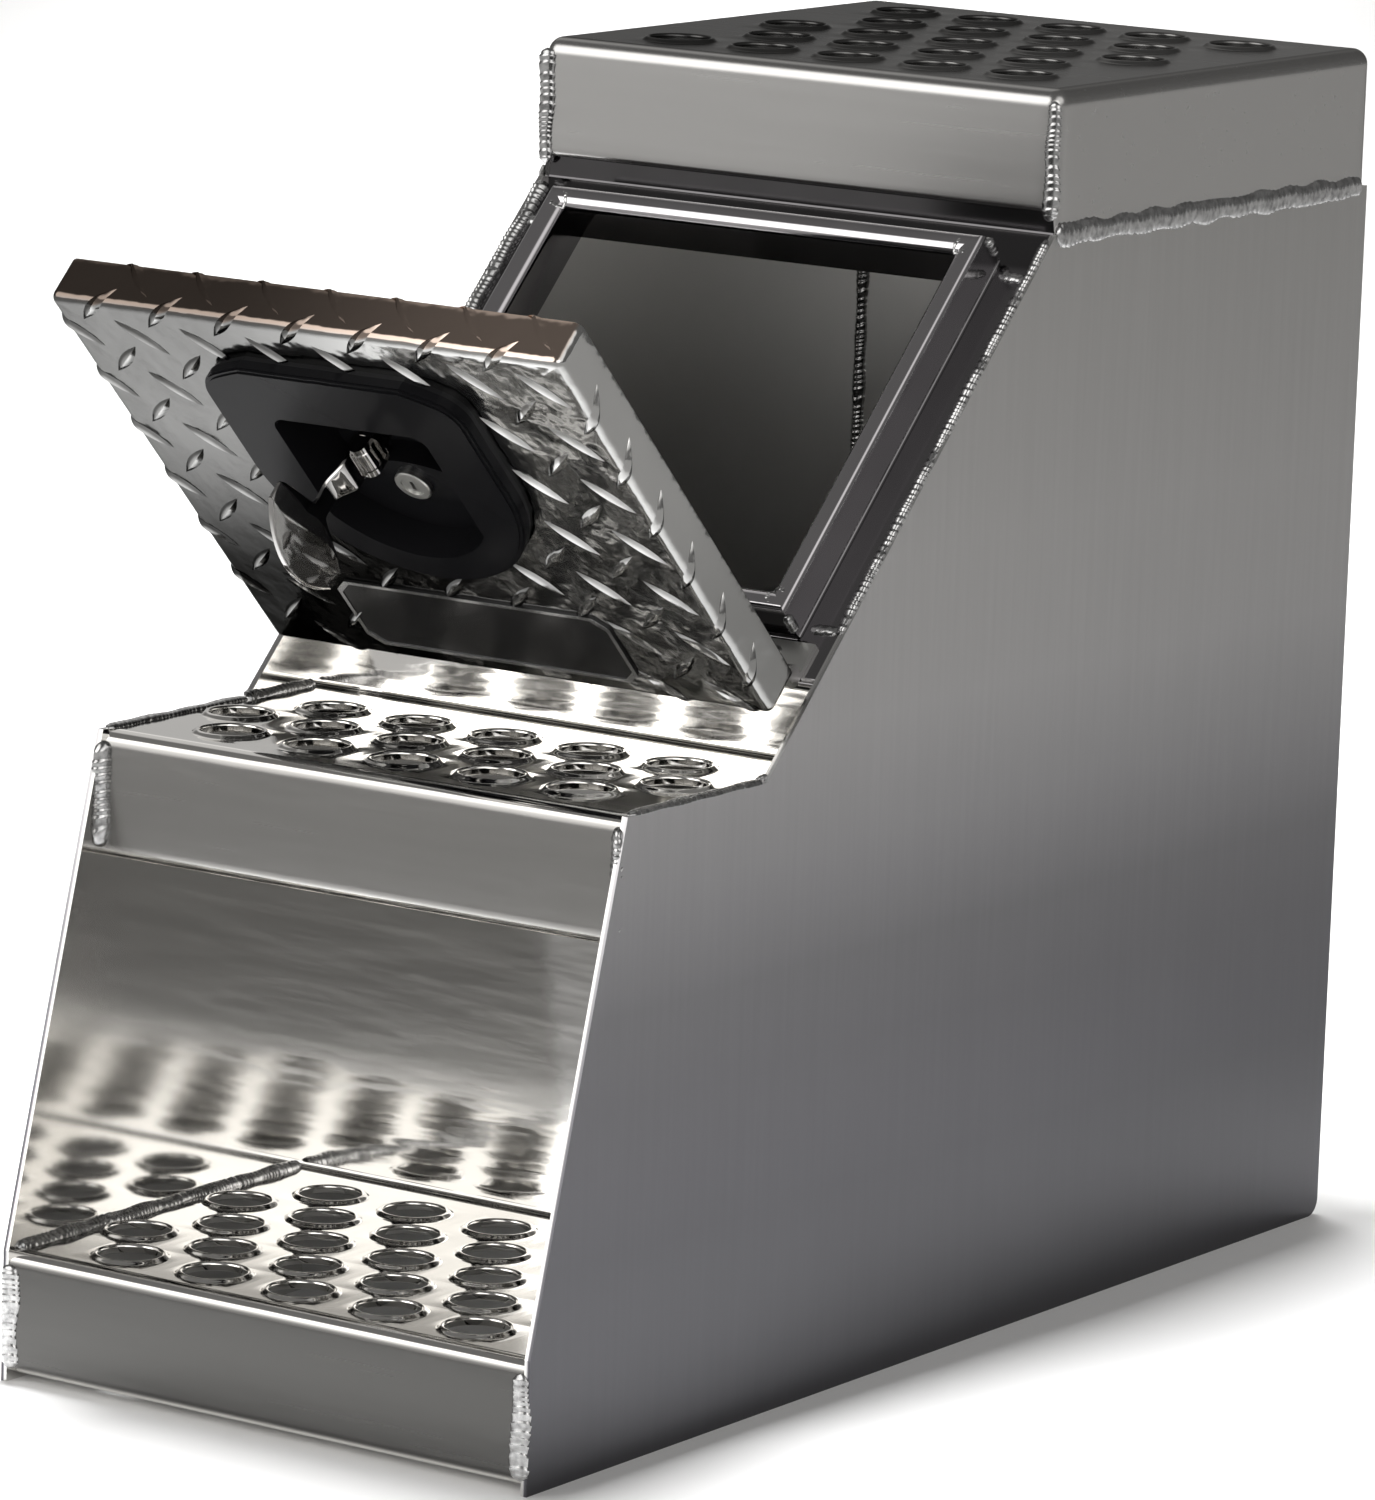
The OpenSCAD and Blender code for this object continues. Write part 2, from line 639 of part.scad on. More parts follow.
// Places along the hinge
module frame_rivet_places() for (i = [0:rivet_n - 1])
    translate([(i - (rivet_n - 1) / 2) * rivet_pitch, frame_rivet_s, 0]) children();
module door_rivet_places() for (i = [0:rivet_n - 1])
    translate([(i - (rivet_n - 1) / 2) * rivet_pitch, 0, door_rivet_p]) children();
module knuckle_spans(first) for (i = [first:2:knuckle_n - 1])
    translate([-hinge_len / 2 + i * knuckle_pitch, 0, 0])
        across(side_gap / 2, knuckle_pitch - side_gap / 2) children();

// One knuckle with the tongue that joins it to its leaf, in (along the leaf, over it) axes
module knuckle_section() difference() {
    union() {
        translate([0, knuckle_r]) circle(knuckle_r);
        square([knuckle_r + 2 * cut, leaf_t]);
    }
    translate([0, knuckle_r]) circle(pin_r + fit);
}

module hinge_frame_leaf() color("silver") on_slope() translate([0, 0, -band_set]) difference() {
    union() {
        translate([0, hinge_s, 0]) knuckle_spans(0) knuckle_section();
        translate([-hinge_len / 2, hinge_s + knuckle_r + cut, 0])
            cube([hinge_len, frame_leaf_w - knuckle_r - cut, leaf_t]);
    }
    frame_rivet_places() translate([0, 0, -cut]) cylinder(r = rivet_r, h = leaf_t + 2 * cut);
}

module rivet(grip) {
    translate([0, 0, -grip]) cylinder(r = rivet_r, h = grip);
    intersection() {
        cylinder(r = rivet_head_r, h = rivet_head_h);
        translate([0, 0, rivet_head_h - 1.5 * rivet_head_r]) sphere(1.5 * rivet_head_r);
    }
    translate([0, 0, -grip - rivet_tail_h]) cylinder(r = 1.5 * rivet_r, h = rivet_tail_h);
}
module hinge_frame_rivets() color("gainsboro") on_slope() frame_rivet_places()
    translate([0, 0, leaf_t - band_set]) rivet(leaf_t + frame_t);

// The door in its own axes
module door_block(d) {
    r = door_fold_r - d;
    low = -door_depth - (d > 0 ? cut : 0);
    intersection() {
        across(-door_w / 2 + d, door_w / 2 - d)
            round_rect([d, low], [door_h - d, -d], r, low_round = false);
        lengthwise(d, door_h - d)
            round_rect([-door_w / 2 + d, low], [door_w / 2 - d, -d], r, low_round = false);
    }
}

// A lug is a long lens with a narrow crown, worked out from rings of points
function lens(half_l, half_w, n) = [for (i = [0:n - 1])
    let (a = 360 * i / n) [half_l * cos(a), half_w * sin(a) * abs(sin(a))]];
lug_n = 10;
lug_sink = 0.4;
function lug_ring(k, z) = [for (q = lens(lug_len / 2 * k, lug_w / 2 * k, lug_n)) [q[0], q[1], z]];
module lug() polyhedron(
    concat(lug_ring(1, -lug_sink), lug_ring(1, 0), lug_ring(0.55, lug_h)),
    concat([[for (i = [0:lug_n - 1]) i]], [[for (i = [lug_n - 1:-1:0]) 2 * lug_n + i]],
        [for (k = [0, 1], i = [0:lug_n - 1])
            let (j = (i + 1) % lug_n) [k * lug_n + j, k * lug_n + i, (k + 1) * lug_n + i]],
        [for (k = [0, 1], i = [0:lug_n - 1])
            let (j = (i + 1) % lug_n) [k * lug_n + j, (k + 1) * lug_n + i, (k + 1) * lug_n + j]]));

// Rows of lugs over a face of w by h whose pattern starts at (x0, v0); lugs that would
// cross the face's edge are left to the fold
module lug_field(x_lo, x_hi, v_lo, v_hi, x0, v0) {
    keep = lug_len * 0.36;
    for (kind = [0, 1])
        let (sx = x0 + kind * lug_pitch / 2, sv = v0 + kind * lug_pitch / 2)
            for (i = [ceil((x_lo + keep - sx) / lug_pitch):floor((x_hi - keep - sx) / lug_pitch)])
                for (j = [ceil((v_lo + keep - sv) / lug_pitch):floor((v_hi - keep - sv) / lug_pitch)])
                    translate([sx + i * lug_pitch, sv + j * lug_pitch, 0])
                        rotate([0, 0, kind == 0 ? -45 : 45]) lug();
}

// How far below the face a lug comes to lie on a flange, when its place on the flat plate is
// reach from the door's middle line and the door's edge is half away from it
function folded_depth(reach, half) = -door_fold_r - (reach - half + door_fold_r - door_fold_r * PI / 2);

// The pattern runs on down the flanges, and each lug there ends at the flange's edge
module flange_lugs() {
    rows = floor((door_h - lug_len / 2 - lug_start_v) / lug_pitch);
    side_n = floor((door_w / 2 - lug_len / 2 - lug_start_x) / lug_pitch);
    top_p = folded_depth(lug_start_v + (rows + 1) * lug_pitch - door_h / 2, door_h / 2);
    right_p = folded_depth(lug_start_x + (side_n + 1) * lug_pitch, door_w / 2);
    left_x = lug_start_x + lug_pitch / 2 - (side_n + 2) * lug_pitch;
    left_p = folded_depth(-left_x, door_w / 2);
    intersection() {
        for (i = [-side_n - 1:side_n])
            translate([lug_start_x + i * lug_pitch, door_h, top_p]) rotate([-90, 0, 0])
                rotate([0, 0, -45]) lug();
        translate([-door_w / 2 + door_fold_r, door_h - cut, -door_depth])
            cube([door_w - 2 * door_fold_r, 2 * cut + lug_h, door_depth - door_fold_r]);
    }
    intersection() {
        for (j = [1:rows - 1]) {
            translate([door_w / 2, lug_start_v + j * lug_pitch, right_p]) rotate([0, 90, 0])
                rotate([0, 0, -45]) lug();
            translate([-door_w / 2, lug_start_v + (j + 0.5) * lug_pitch, left_p]) rotate([0, -90, 0])
                rotate([0, 0, 45]) lug();
        }
        difference() {
            translate([-door_w / 2 - 2 * lug_h, door_fold_r, -door_depth])
                cube([door_w + 4 * lug_h, door_h - 2 * door_fold_r, door_depth - door_fold_r]);
            translate([-door_w / 2 + cut, 0, -door_depth - cut])
                cube([door_w - 2 * cut, door_h, door_depth + 2 * cut]);
        }
    }
}

module plate_outline(d) {
    c = plate_chamfer;
    x0 = plate_x - plate_half - d;
    x1 = plate_x + plate_half + d;
    v0 = plate_low - d;
    v1 = plate_high + d;
    polygon([[x0 + c, v0], [x1 - c, v0], [x1, v0 + c], [x1, v1 - c], [x1 - c, v1],
        [x0 + c, v1], [x0, v1 - c], [x0, v0 + c]]);
}

// The dish's outline, grown by d: a round lower end, straight sides and a crowned top
module dish_outline(d) translate([latch_x, 0]) {
    reach = (dish_arc_r + d) / (dish_arc_r - dish_corner_r) * 1.05;
    top = [corner_x * reach, dish_arc_v + (corner_v - dish_arc_v) * reach];
    translate([0, dish_mid_v]) circle(dish_r + d);
    translate([-dish_r - d, dish_mid_v]) square([2 * (dish_r + d), corner_v - dish_mid_v]);
    for (s = [-1, 1]) translate([s * corner_x, corner_v]) circle(dish_corner_r + d);
    intersection() {
        translate([0, dish_arc_v]) circle(dish_arc_r + d);
        polygon([[0, dish_arc_v], top, [-top[0], top[1]]]);
    }
}

// The finger recess's outline, grown by d: square at the top and round below
module recess_outline(d) translate([latch_x, 0]) {
    intersection() {
        translate([0, recess_arc_v]) circle(recess_arc_r + d);
        translate([-recess_w - d, recess_arc_v - recess_arc_r - d])
            square([2 * (recess_w + d), recess_arc_r + d + cut]);
    }
    round_rect([-recess_w - d, recess_arc_v], [recess_w + d, recess_top_v + d], 8 + d,
        low_round = false);
}

module dish_screw_places() for (s = [-1, 1]) {
    translate([latch_x + s * (dish_r - screw_in), dish_mid_v - screw_drop, 0]) children();
    translate([latch_x + s * corner_x, corner_v, 0]) children();
}

module door_skin() color("silver") on_door() difference() {
    union() {
        door_block(0);
        intersection() {
            difference() {
                lug_field(-door_w / 2, door_w / 2, 0, door_h, lug_start_x, lug_start_v);
                linear_extrude(2 * lug_h) plate_outline(side_gap);
                linear_extrude(2 * lug_h) dish_outline(side_gap);
            }
            translate([-door_w / 2, 0, -cut]) cube([door_w, door_h, 2 * lug_h + cut]);
        }
        flange_lugs();
    }
    door_block(door_t);
    translate([0, 0, -door_t - cut]) linear_extrude(door_t + 2 * cut) recess_outline(dish_t + side_gap);
    dish_screw_places() translate([0, 0, -door_t - cut]) cylinder(r = screw_r, h = door_t + 2 * cut);
    door_rivet_places() rotate([90, 0, 0]) translate([0, 0, -door_t - cut])
        cylinder(r = rivet_r, h = door_t + 2 * cut);
}

module door_corner_beads() color("lightgray") on_door() both_sides()
    for (v = [door_t, door_h - door_t])
        translate([door_w / 2 - door_t, v, -door_depth])
            mirror([1, 0, 0]) mirror([0, v > door_t ? 1 : 0, 0])
                linear_extrude(door_depth - door_fold_r) corner_bead_section(door_bead_leg);

module hinge_door_leaf() color("silver") on_door() difference() {
    union() {
        translate([0, -knuckle_r, pin_p]) rotate([90, 0, 0]) translate([0, 0, -knuckle_r])
            knuckle_spans(1) knuckle_section();
        translate([-hinge_len / 2, -leaf_t, pin_p + knuckle_r + cut])
            cube([hinge_len, leaf_t, door_leaf_w - knuckle_r - cut]);
    }
    door_rivet_places() rotate([90, 0, 0]) translate([0, 0, -cut])
        cylinder(r = rivet_r, h = leaf_t + 2 * cut);
}
module hinge_pin() color("lightgray") on_door() translate([0, -knuckle_r, pin_p])
    across(-hinge_len / 2, hinge_len / 2) circle(pin_r);
module hinge_door_rivets() color("gainsboro") on_door() door_rivet_places()
    translate([0, -leaf_t, 0]) rotate([90, 0, 0]) rivet(leaf_t + door_t);

// The seal lies over the frame's lip when the door is shut
module door_seal() color("black") on_door() {
    side = (seal_w - lip_w) / 2;
    low = lip_lo - door_base - side;
    high = lip_hi - door_base + side;
    translate([0, 0, -door_t - seal_h]) linear_extrude(seal_h) difference() {
        round_rect([-open_w - lip_w - side, low], [open_w + lip_w + side, high], seal_w - 1);
        round_rect([-open_w + side, low + seal_w], [open_w - side, high - seal_w], 2);
    }
}

module name_plate() color("black") on_door() difference() {
    linear_extrude(plate_h) plate_outline(0);
    translate([0, 0, plate_h - plate_pocket]) linear_extrude(cut) plate_outline(-plate_border);
}

module latch_gasket() color("black") on_door() difference() {
    linear_extrude(gasket_t) dish_outline(-1);
    translate([0, 0, -cut]) linear_extrude(gasket_t + 2 * cut) recess_outline(dish_t + side_gap);
    dish_screw_places() translate([0, 0, -cut]) cylinder(r = screw_r, h = gasket_t + 2 * cut);
}

module latch_dish() color([0.12, 0.12, 0.13]) on_door() difference() {
    union() {
        translate([0, 0, gasket_t]) linear_extrude(dish_h - rim_step) dish_outline(0);
        translate([0, 0, dish_top - rim_step])
            linear_extrude(rim_step * 0.6) dish_outline(-rim_step * 0.4);
        translate([0, 0, dish_top - rim_step * 0.4])
            linear_extrude(rim_step * 0.4) dish_outline(-rim_step * 1.2);
        translate([0, 0, -recess_depth - dish_t])
            linear_extrude(recess_depth + dish_t + gasket_t + cut) recess_outline(dish_t);
    }
    // The deep finger space above the lock's shelf
    difference() {
        translate([0, 0, -recess_depth]) linear_extrude(recess_depth + dish_top + cut) recess_outline(0);
        translate([latch_x, shelf_top_v - shelf_r, -recess_depth - cut])
            cylinder(r = shelf_r, h = recess_depth + shelf_p + cut);
    }
    // The shelf is hollow underneath
    intersection() {
        translate([latch_x, shelf_top_v - shelf_r, -recess_depth - dish_t - cut])
            cylinder(r = shelf_r - dish_t, h = recess_depth + shelf_p + cut);
        translate([0, 0, -recess_depth - dish_t - cut]) linear_extrude(recess_depth) recess_outline(-1);
    }
    translate([latch_x, spindle_v, -recess_depth - dish_t - cut])
        cylinder(r = spindle_r + fit, h = dish_t + 2 * cut);
    translate([latch_x, lock_v, shelf_p - dish_t - 2 * cut])
        cylinder(r = lock_r + lock_wall, h = dish_t + 3 * cut);
}

module latch_screws() color("silver") on_door() dish_screw_places() {
    translate([0, 0, -door_t - screw_head_h - cut])
        cylinder(r = screw_r, h = door_t + screw_head_h + cut + gasket_t);
    translate([0, 0, -door_t - screw_head_h]) cylinder(r = screw_head_r, h = screw_head_h, $fn = 6);
}

module lock_housing() color("silver") on_door() translate([latch_x, lock_v, 0]) difference() {
    union() {
        translate([0, 0, tongue_p + tongue_t + side_gap])
            cylinder(r = lock_r + lock_wall, h = shelf_p - tongue_p - tongue_t);
        translate([0, 0, shelf_p])
            cylinder(r = lock_r + lock_flange, h = lock_face_p - shelf_p - lock_edge);
        translate([0, 0, lock_face_p - lock_edge])
            cylinder(r1 = lock_r + lock_flange, r2 = lock_r + lock_flange - lock_edge, h = lock_edge);
    }
    translate([0, 0, tongue_p]) cylinder(r = lock_r + fit, h = lock_face_p - tongue_p + cut);
}

module lock_cylinder() color("silver") on_door() translate([latch_x, lock_v, 0]) difference() {
    translate([0, 0, tongue_p + tongue_t])
        cylinder(r = lock_r, h = lock_face_p - lock_sunk - tongue_p - tongue_t);
    translate([-key_w / 2, -key_h / 2, lock_face_p - key_depth]) cube([key_w, key_h, key_depth]);
}
module lock_tongue() color("silver") on_door() translate([latch_x, lock_v, tongue_p]) difference() {
    linear_extrude(tongue_t) {
        circle(tongue_w);
        translate([0, -tongue_w / 2]) square([tongue_len, tongue_w]);
    }
    translate([0, 0, -cut]) cylinder(r = screw_r, h = tongue_t + 2 * cut);
}
module lock_screw() color("gainsboro") on_door() translate([latch_x, lock_v, tongue_p]) {
    cylinder(r = screw_r, h = tongue_t);
    translate([0, 0, -tongue_t]) cylinder(r = screw_head_r, h = tongue_t, $fn = 6);
}

// The spindle's own axes: its fork's pin runs up the door while the latch is undone
module on_spindle() on_door() translate([latch_x, spindle_v, 0]) children();

module latch_spindle() color("silver") on_spindle() difference() {
    union() {
        translate([0, 0, cam_top_p - cam_t - nut_h - 2])
            cylinder(r = spindle_r - 1, h = cam_t + nut_h + 3);
        translate([0, 0, cam_top_p])
            cylinder(r = spindle_r, h = pivot_p - eye_r - hub_h + cut - cam_top_p);
        translate([-collar_half, -collar_half, collar_top_p - collar_t])
            cube([2 * collar_half, 2 * collar_half, collar_t]);
        translate([0, 0, -recess_depth + side_gap]) cylinder(r = hub_r, h = hub_h);
        translate([0, 0, pivot_p - eye_r - hub_h]) cylinder(r = hub_r, h = hub_h - side_gap);
        for (s = [0, 1]) mirror([0, s, 0]) translate([0, eye_w / 2 + side_gap, pivot_p])
            rotate([-90, 0, 0]) cheek();
    }
    translate([0, -arm_w, pivot_p]) rotate([-90, 0, 0]) cylinder(r = handle_pin_r, h = 2 * arm_w);
}
// One cheek of the fork: an upright with a round end
module cheek() {
    cylinder(r = eye_r, h = cheek_t);
    translate([-eye_r, 0, 0]) cube([2 * eye_r, eye_r + 2, cheek_t]);
}

module handle_pin() color("silver") on_spindle() translate([0, -eye_w / 2 - side_gap - cheek_t, pivot_p])
    rotate([-90, 0, 0]) cylinder(r = handle_pin_r, h = eye_w + 2 * (side_gap + cheek_t));

// The grip's outline in (along the pin, out from it) axes: a strap that ends in a bowed bar
module handle_outline() {
    root = handle_len - grip_depth;
    translate([-arm_w / 2, eye_r + 3]) square([arm_w, root - eye_r + 4]);
    translate([-eye_w / 2, 0]) square([eye_w, eye_r + 4]);
    intersection() {
        translate([0, handle_len - bow_r]) circle(bow_r);
        polygon([[-grip_len / 2, root + 10], [-arm_w / 2, root], [arm_w / 2, root],
            [grip_len / 2, root + 10], [grip_len / 2, handle_len], [-grip_len / 2, handle_len]]);
    }
}
module latch_handle() color("gainsboro") on_spindle() translate([0, 0, pivot_p]) difference() {
    union() {
        translate([-plate_gap - plate_t, 0, 0]) rotate([90, 0, 90])
            linear_extrude(plate_t) handle_outline();
        translate([0, -eye_w / 2, 0]) rotate([-90, 0, 0]) cylinder(r = eye_r, h = eye_w);
    }
    translate([0, -arm_w, 0]) rotate([-90, 0, 0]) cylinder(r = handle_pin_r + fit, h = 2 * arm_w);
}

// The cam points across the door while the latch is undone
module cam_arm() color("silver") on_spindle() translate([0, 0, cam_top_p - cam_t]) difference() {
    rotate([0, 0, 180]) linear_extrude(cam_t) {
        circle(cam_w / 2 + 2);
        translate([0, -cam_w / 2]) square([cam_reach - cam_w / 2, cam_w]);
        translate([cam_reach - cam_w / 2, 0]) circle(cam_w / 2);
    }
    translate([0, 0, -cut]) cylinder(r = spindle_r - 1, h = cam_t + 2 * cut);
}
module cam_washer() color("silver") on_spindle() translate([0, 0, cam_top_p]) difference() {
    cylinder(r = washer_r, h = washer_t);
    translate([0, 0, -cut]) cylinder(r = spindle_r, h = washer_t + 2 * cut);
}
module cam_nut() color("silver") on_spindle() translate([0, 0, cam_top_p - cam_t - nut_h]) difference() {
    cylinder(r = nut_r, h = nut_h, $fn = 6);
    translate([0, 0, -cut]) cylinder(r = spindle_r - 1, h = nut_h + 2 * cut);
}

left_side_panel();
right_side_panel();
lower_step_sheet();
middle_step_sheet();
top_step_cap();
floor_back_sheet();
frame_header();
frame_left_jamb();
frame_right_jamb();
frame_sill();
lower_step_beads();
middle_step_beads();
panel_edge_beads();
cap_beads();
frame_beads();
back_beads();
hinge_frame_leaf();
hinge_frame_rivets();
door_skin();
door_corner_beads();
hinge_door_leaf();
hinge_pin();
hinge_door_rivets();
door_seal();
name_plate();
latch_gasket();
latch_dish();
latch_screws();
lock_housing();
latch_spindle();
cam_arm();
cam_washer();
cam_nut();
latch_handle();
handle_pin();
lock_cylinder();
lock_tongue();
lock_screw();
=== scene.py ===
"""A saddle step box of welded aluminium sheet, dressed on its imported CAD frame."""

import bpy
import numpy as np
from mathutils import Matrix


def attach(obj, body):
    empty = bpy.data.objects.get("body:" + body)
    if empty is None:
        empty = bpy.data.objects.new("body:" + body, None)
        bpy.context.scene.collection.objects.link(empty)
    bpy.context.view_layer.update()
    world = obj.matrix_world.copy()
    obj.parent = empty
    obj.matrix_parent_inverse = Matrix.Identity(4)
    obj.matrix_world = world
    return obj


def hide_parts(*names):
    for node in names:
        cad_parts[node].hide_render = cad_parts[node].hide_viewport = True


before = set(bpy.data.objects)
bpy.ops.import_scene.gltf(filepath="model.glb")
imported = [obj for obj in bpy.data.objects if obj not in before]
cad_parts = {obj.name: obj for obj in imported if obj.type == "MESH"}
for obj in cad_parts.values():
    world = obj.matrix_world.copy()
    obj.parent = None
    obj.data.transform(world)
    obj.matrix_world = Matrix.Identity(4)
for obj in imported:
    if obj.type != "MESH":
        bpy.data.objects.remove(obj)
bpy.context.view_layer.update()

# The camera stands where the photograph was taken from: to the right of the front, a little
# above the top tread, with a long lens. Its place was fitted to the corners of the box.
PHOTO_W, PHOTO_H = 1375, 1500
azimuth, elevation, roll = np.radians([34.006, 10.771, 1.967])
target = np.array([0.0002, -0.0203, 0.2777])
distance = 4.085
focal_pixels = 8353.0
back = np.array([np.sin(azimuth) * np.cos(elevation), -np.cos(azimuth) * np.cos(elevation), np.sin(elevation)])
level = np.array([np.cos(azimuth), np.sin(azimuth), 0.0])
upright = np.cross(back, level)
right = np.cos(roll) * level + np.sin(roll) * upright
up = -np.sin(roll) * level + np.cos(roll) * upright
camera_data = bpy.data.cameras.new("camera")
camera_data.sensor_width = 36.0
camera_data.lens = camera_data.sensor_width * focal_pixels / max(PHOTO_W, PHOTO_H)
camera_data.clip_start, camera_data.clip_end = 0.1, 200.0
camera = bpy.data.objects.new("camera", camera_data)
pose = np.eye(4)
pose[:3, 0], pose[:3, 1], pose[:3, 2] = right, up, back
pose[:3, 3] = target + back * distance
camera.matrix_world = Matrix(pose.tolist())
bpy.context.scene.collection.objects.link(camera)
bpy.context.scene.camera = camera
bpy.context.scene.view_settings.view_transform = "Standard"


class Wire:
    """A socket of a material; an expression on these adds its Math nodes."""

    def __init__(self, paint, socket):
        self.paint, self.socket = paint, socket

    def _do(self, operation, *values):
        return self.paint.node("ShaderNodeMath", {"operation": operation}, dict(enumerate(values)))

    def __add__(self, other):
        return self._do("ADD", self, other)

    __radd__ = __add__

    def __sub__(self, other):
        return self._do("SUBTRACT", self, other)

    def __rsub__(self, other):
        return self._do("SUBTRACT", other, self)

    def __mul__(self, other):
        return self._do("MULTIPLY", self, other)

    __rmul__ = __mul__

    def __truediv__(self, other):
        return self._do("DIVIDE", self, other)

    def size(self):
        return self._do("ABSOLUTE", self)

    def step(self, low, high):
        """0 below low and 1 above high, with a smooth rise between them."""
        return self.paint.node("ShaderNodeMapRange", {"interpolation_type": "SMOOTHSTEP"},
                               {"Value": self, "From Min": low, "From Max": high})


class Paint:
    """A material made of one Principled shader and the nodes that feed it."""

    def __init__(self, name, **sockets):
        self.material = bpy.data.materials.new(name)
        self.material.use_nodes = True
        self.tree = self.material.node_tree
        self.shader = self.tree.nodes["Principled BSDF"]
        self.place = self.node("ShaderNodeTexCoord", {}, {}, "Object")
        self.set(**sockets)

    def node(self, kind, settings, inputs, output=0):
        made = self.tree.nodes.new(kind)
        for key, value in settings.items():
            if key == "stops":
                ramp = made.color_ramp
                while len(ramp.elements) < len(value):
                    ramp.elements.new(0.5)
                for element, (at, shade) in zip(ramp.elements, value):
                    element.position = at
                    element.color = shade if isinstance(shade, tuple) else (shade, shade, shade, 1)
            else:
                setattr(made, key, value)
        for key, value in inputs.items():
            if isinstance(value, Wire):
                self.tree.links.new(value.socket, made.inputs[key])
            else:
                made.inputs[key].default_value = value
        return Wire(self, made.outputs[output])

    def set(self, **sockets):
        for key, value in sockets.items():
            name = key.replace("_", " ")
            if isinstance(value, Wire):
                self.tree.links.new(value.socket, self.shader.inputs[name])
            else:
                self.shader.inputs[name].default_value = value
        return self

    def axes(self):
        """The x, y and z of a point, in metres."""
        return [self.node("ShaderNodeSeparateXYZ", {}, {0: self.place}, k) for k in range(3)]

    def stretched(self, scale, turn=(0, 0, 0)):
        return self.node("ShaderNodeMapping", {}, {"Vector": self.place, "Scale": scale, "Rotation": turn})

    def noise(self, scale, detail=4.0, roughness=0.55, at=None):
        return self.node("ShaderNodeTexNoise", {"noise_dimensions": "3D"},
                         {"Vector": at or self.place, "Scale": scale, "Detail": detail, "Roughness": roughness})

    def gray(self, tone, tint=(1.0, 1.0, 1.01, 1)):
        """The colour tint, three numbers or a socket, times a grey tone."""
        tint = tint if isinstance(tint, Wire) else tint[:3]
        return self.node("ShaderNodeVectorMath", {"operation": "SCALE"}, {0: tint, "Scale": tone})

    def ramp(self, value, *stops):
        return self.node("ShaderNodeValToRGB", {"stops": stops}, {0: value})

    def bump(self, height, depth, strength=1.0):
        return self.node("ShaderNodeBump", {}, {"Height": height, "Distance": depth, "Strength": strength})


# The studio is a plain pale floor under a soft sky with two broad bright lobes, a large soft
# light overhead and three more over the floor behind the box, so that the backdrop is white.
floor_mesh = bpy.data.meshes.new("floor")
floor_mesh.from_pydata([(-60, -60, 0), (60, -60, 0), (60, 60, 0), (-60, 60, 0)], [], [(0, 1, 2, 3)])
floor = bpy.data.objects.new("floor", floor_mesh)
bpy.context.scene.collection.objects.link(floor)
floor_mesh.materials.append(Paint("floor_paint", Base_Color=(0.9, 0.9, 0.9, 1), Roughness=0.9).material)

world = bpy.data.worlds.new("studio")
world.use_nodes = True
bpy.context.scene.world = world
sky = world.node_tree


def sky_lobe(direction, inner, outer, strength):
    """A round patch of sky: full strength within the cosine inner, none outside the cosine outer."""
    direction = np.array(direction, float) / np.linalg.norm(direction)
    place = sky.nodes.new("ShaderNodeTexCoord")
    dot = sky.nodes.new("ShaderNodeVectorMath")
    dot.operation = "DOT_PRODUCT"
    dot.inputs[1].default_value = direction.tolist()
    step = sky.nodes.new("ShaderNodeMapRange")
    step.interpolation_type = "SMOOTHSTEP"
    for socket, value in zip(("From Min", "From Max", "To Min", "To Max"), (outer, inner, 0.0, strength)):
        step.inputs[socket].default_value = value
    sky.links.new(place.outputs["Generated"], dot.inputs[0])
    sky.links.new(dot.outputs["Value"], step.inputs["Value"])
    return step.outputs[0]


def sky_sum(a, b):
    """The sum of two sky patches."""
    add = sky.nodes.new("ShaderNodeMath")
    sky.links.new(a, add.inputs[0])
    sky.links.new(b, add.inputs[1])
    return add.outputs[0]


glow = sky_lobe((0, 0, 1), -0.2, -0.3, 0.15)
for lobe in (((-0.549, -0.74, 0.38), 0.966, 0.87, 2.4), ((-0.55, 0.50, 0.67), 0.97, 0.90, 0.4),
             ((0.75, -0.35, 0.55), 0.96, 0.85, 1.0), ((-0.55, 0.81, 0.19), 0.99, 0.86, 0.3),
             ((0.55, -0.80, 0.22), 0.975, 0.90, 1.8)):
    glow = sky_sum(glow, sky_lobe(*lobe))
sky.links.new(glow, sky.nodes["Background"].inputs[1])
sky.nodes["Background"].inputs[0].default_value = (1.0, 0.985, 0.965, 1)


def softbox(name, place, aim, size, power, spread=180):
    """A square area light at a place, turned to face a point; spread in degrees narrows it."""
    light = bpy.data.lights.new(name, "AREA")
    light.size = size
    light.energy = power
    light.spread = np.radians(spread)
    lamp = bpy.data.objects.new(name, light)
    axis = np.array(place, float) - np.array(aim, float)
    axis /= np.linalg.norm(axis)
    side = np.cross((0, 1, 0), axis)
    side /= np.linalg.norm(side)
    grip = np.eye(4)
    grip[:3, 0], grip[:3, 1], grip[:3, 2], grip[:3, 3] = side, np.cross(axis, side), axis, place
    lamp.matrix_world = Matrix(grip.tolist())
    lamp.visible_glossy = False
    bpy.context.scene.collection.objects.link(lamp)


softbox("pool", (-0.25, 0.0, 3.2), (-0.2, -0.05, 0), 0.6, 9, 36)
for k, away in enumerate((1.3, 2.6, 4.0, 5.6, 7.4, 9.4)):
    softbox(f"backdrop_{k}", (-0.56 * away, 0.83 * away, 3.4), (-0.56 * away, 0.83 * away, 0), 1.0, 13, 52)


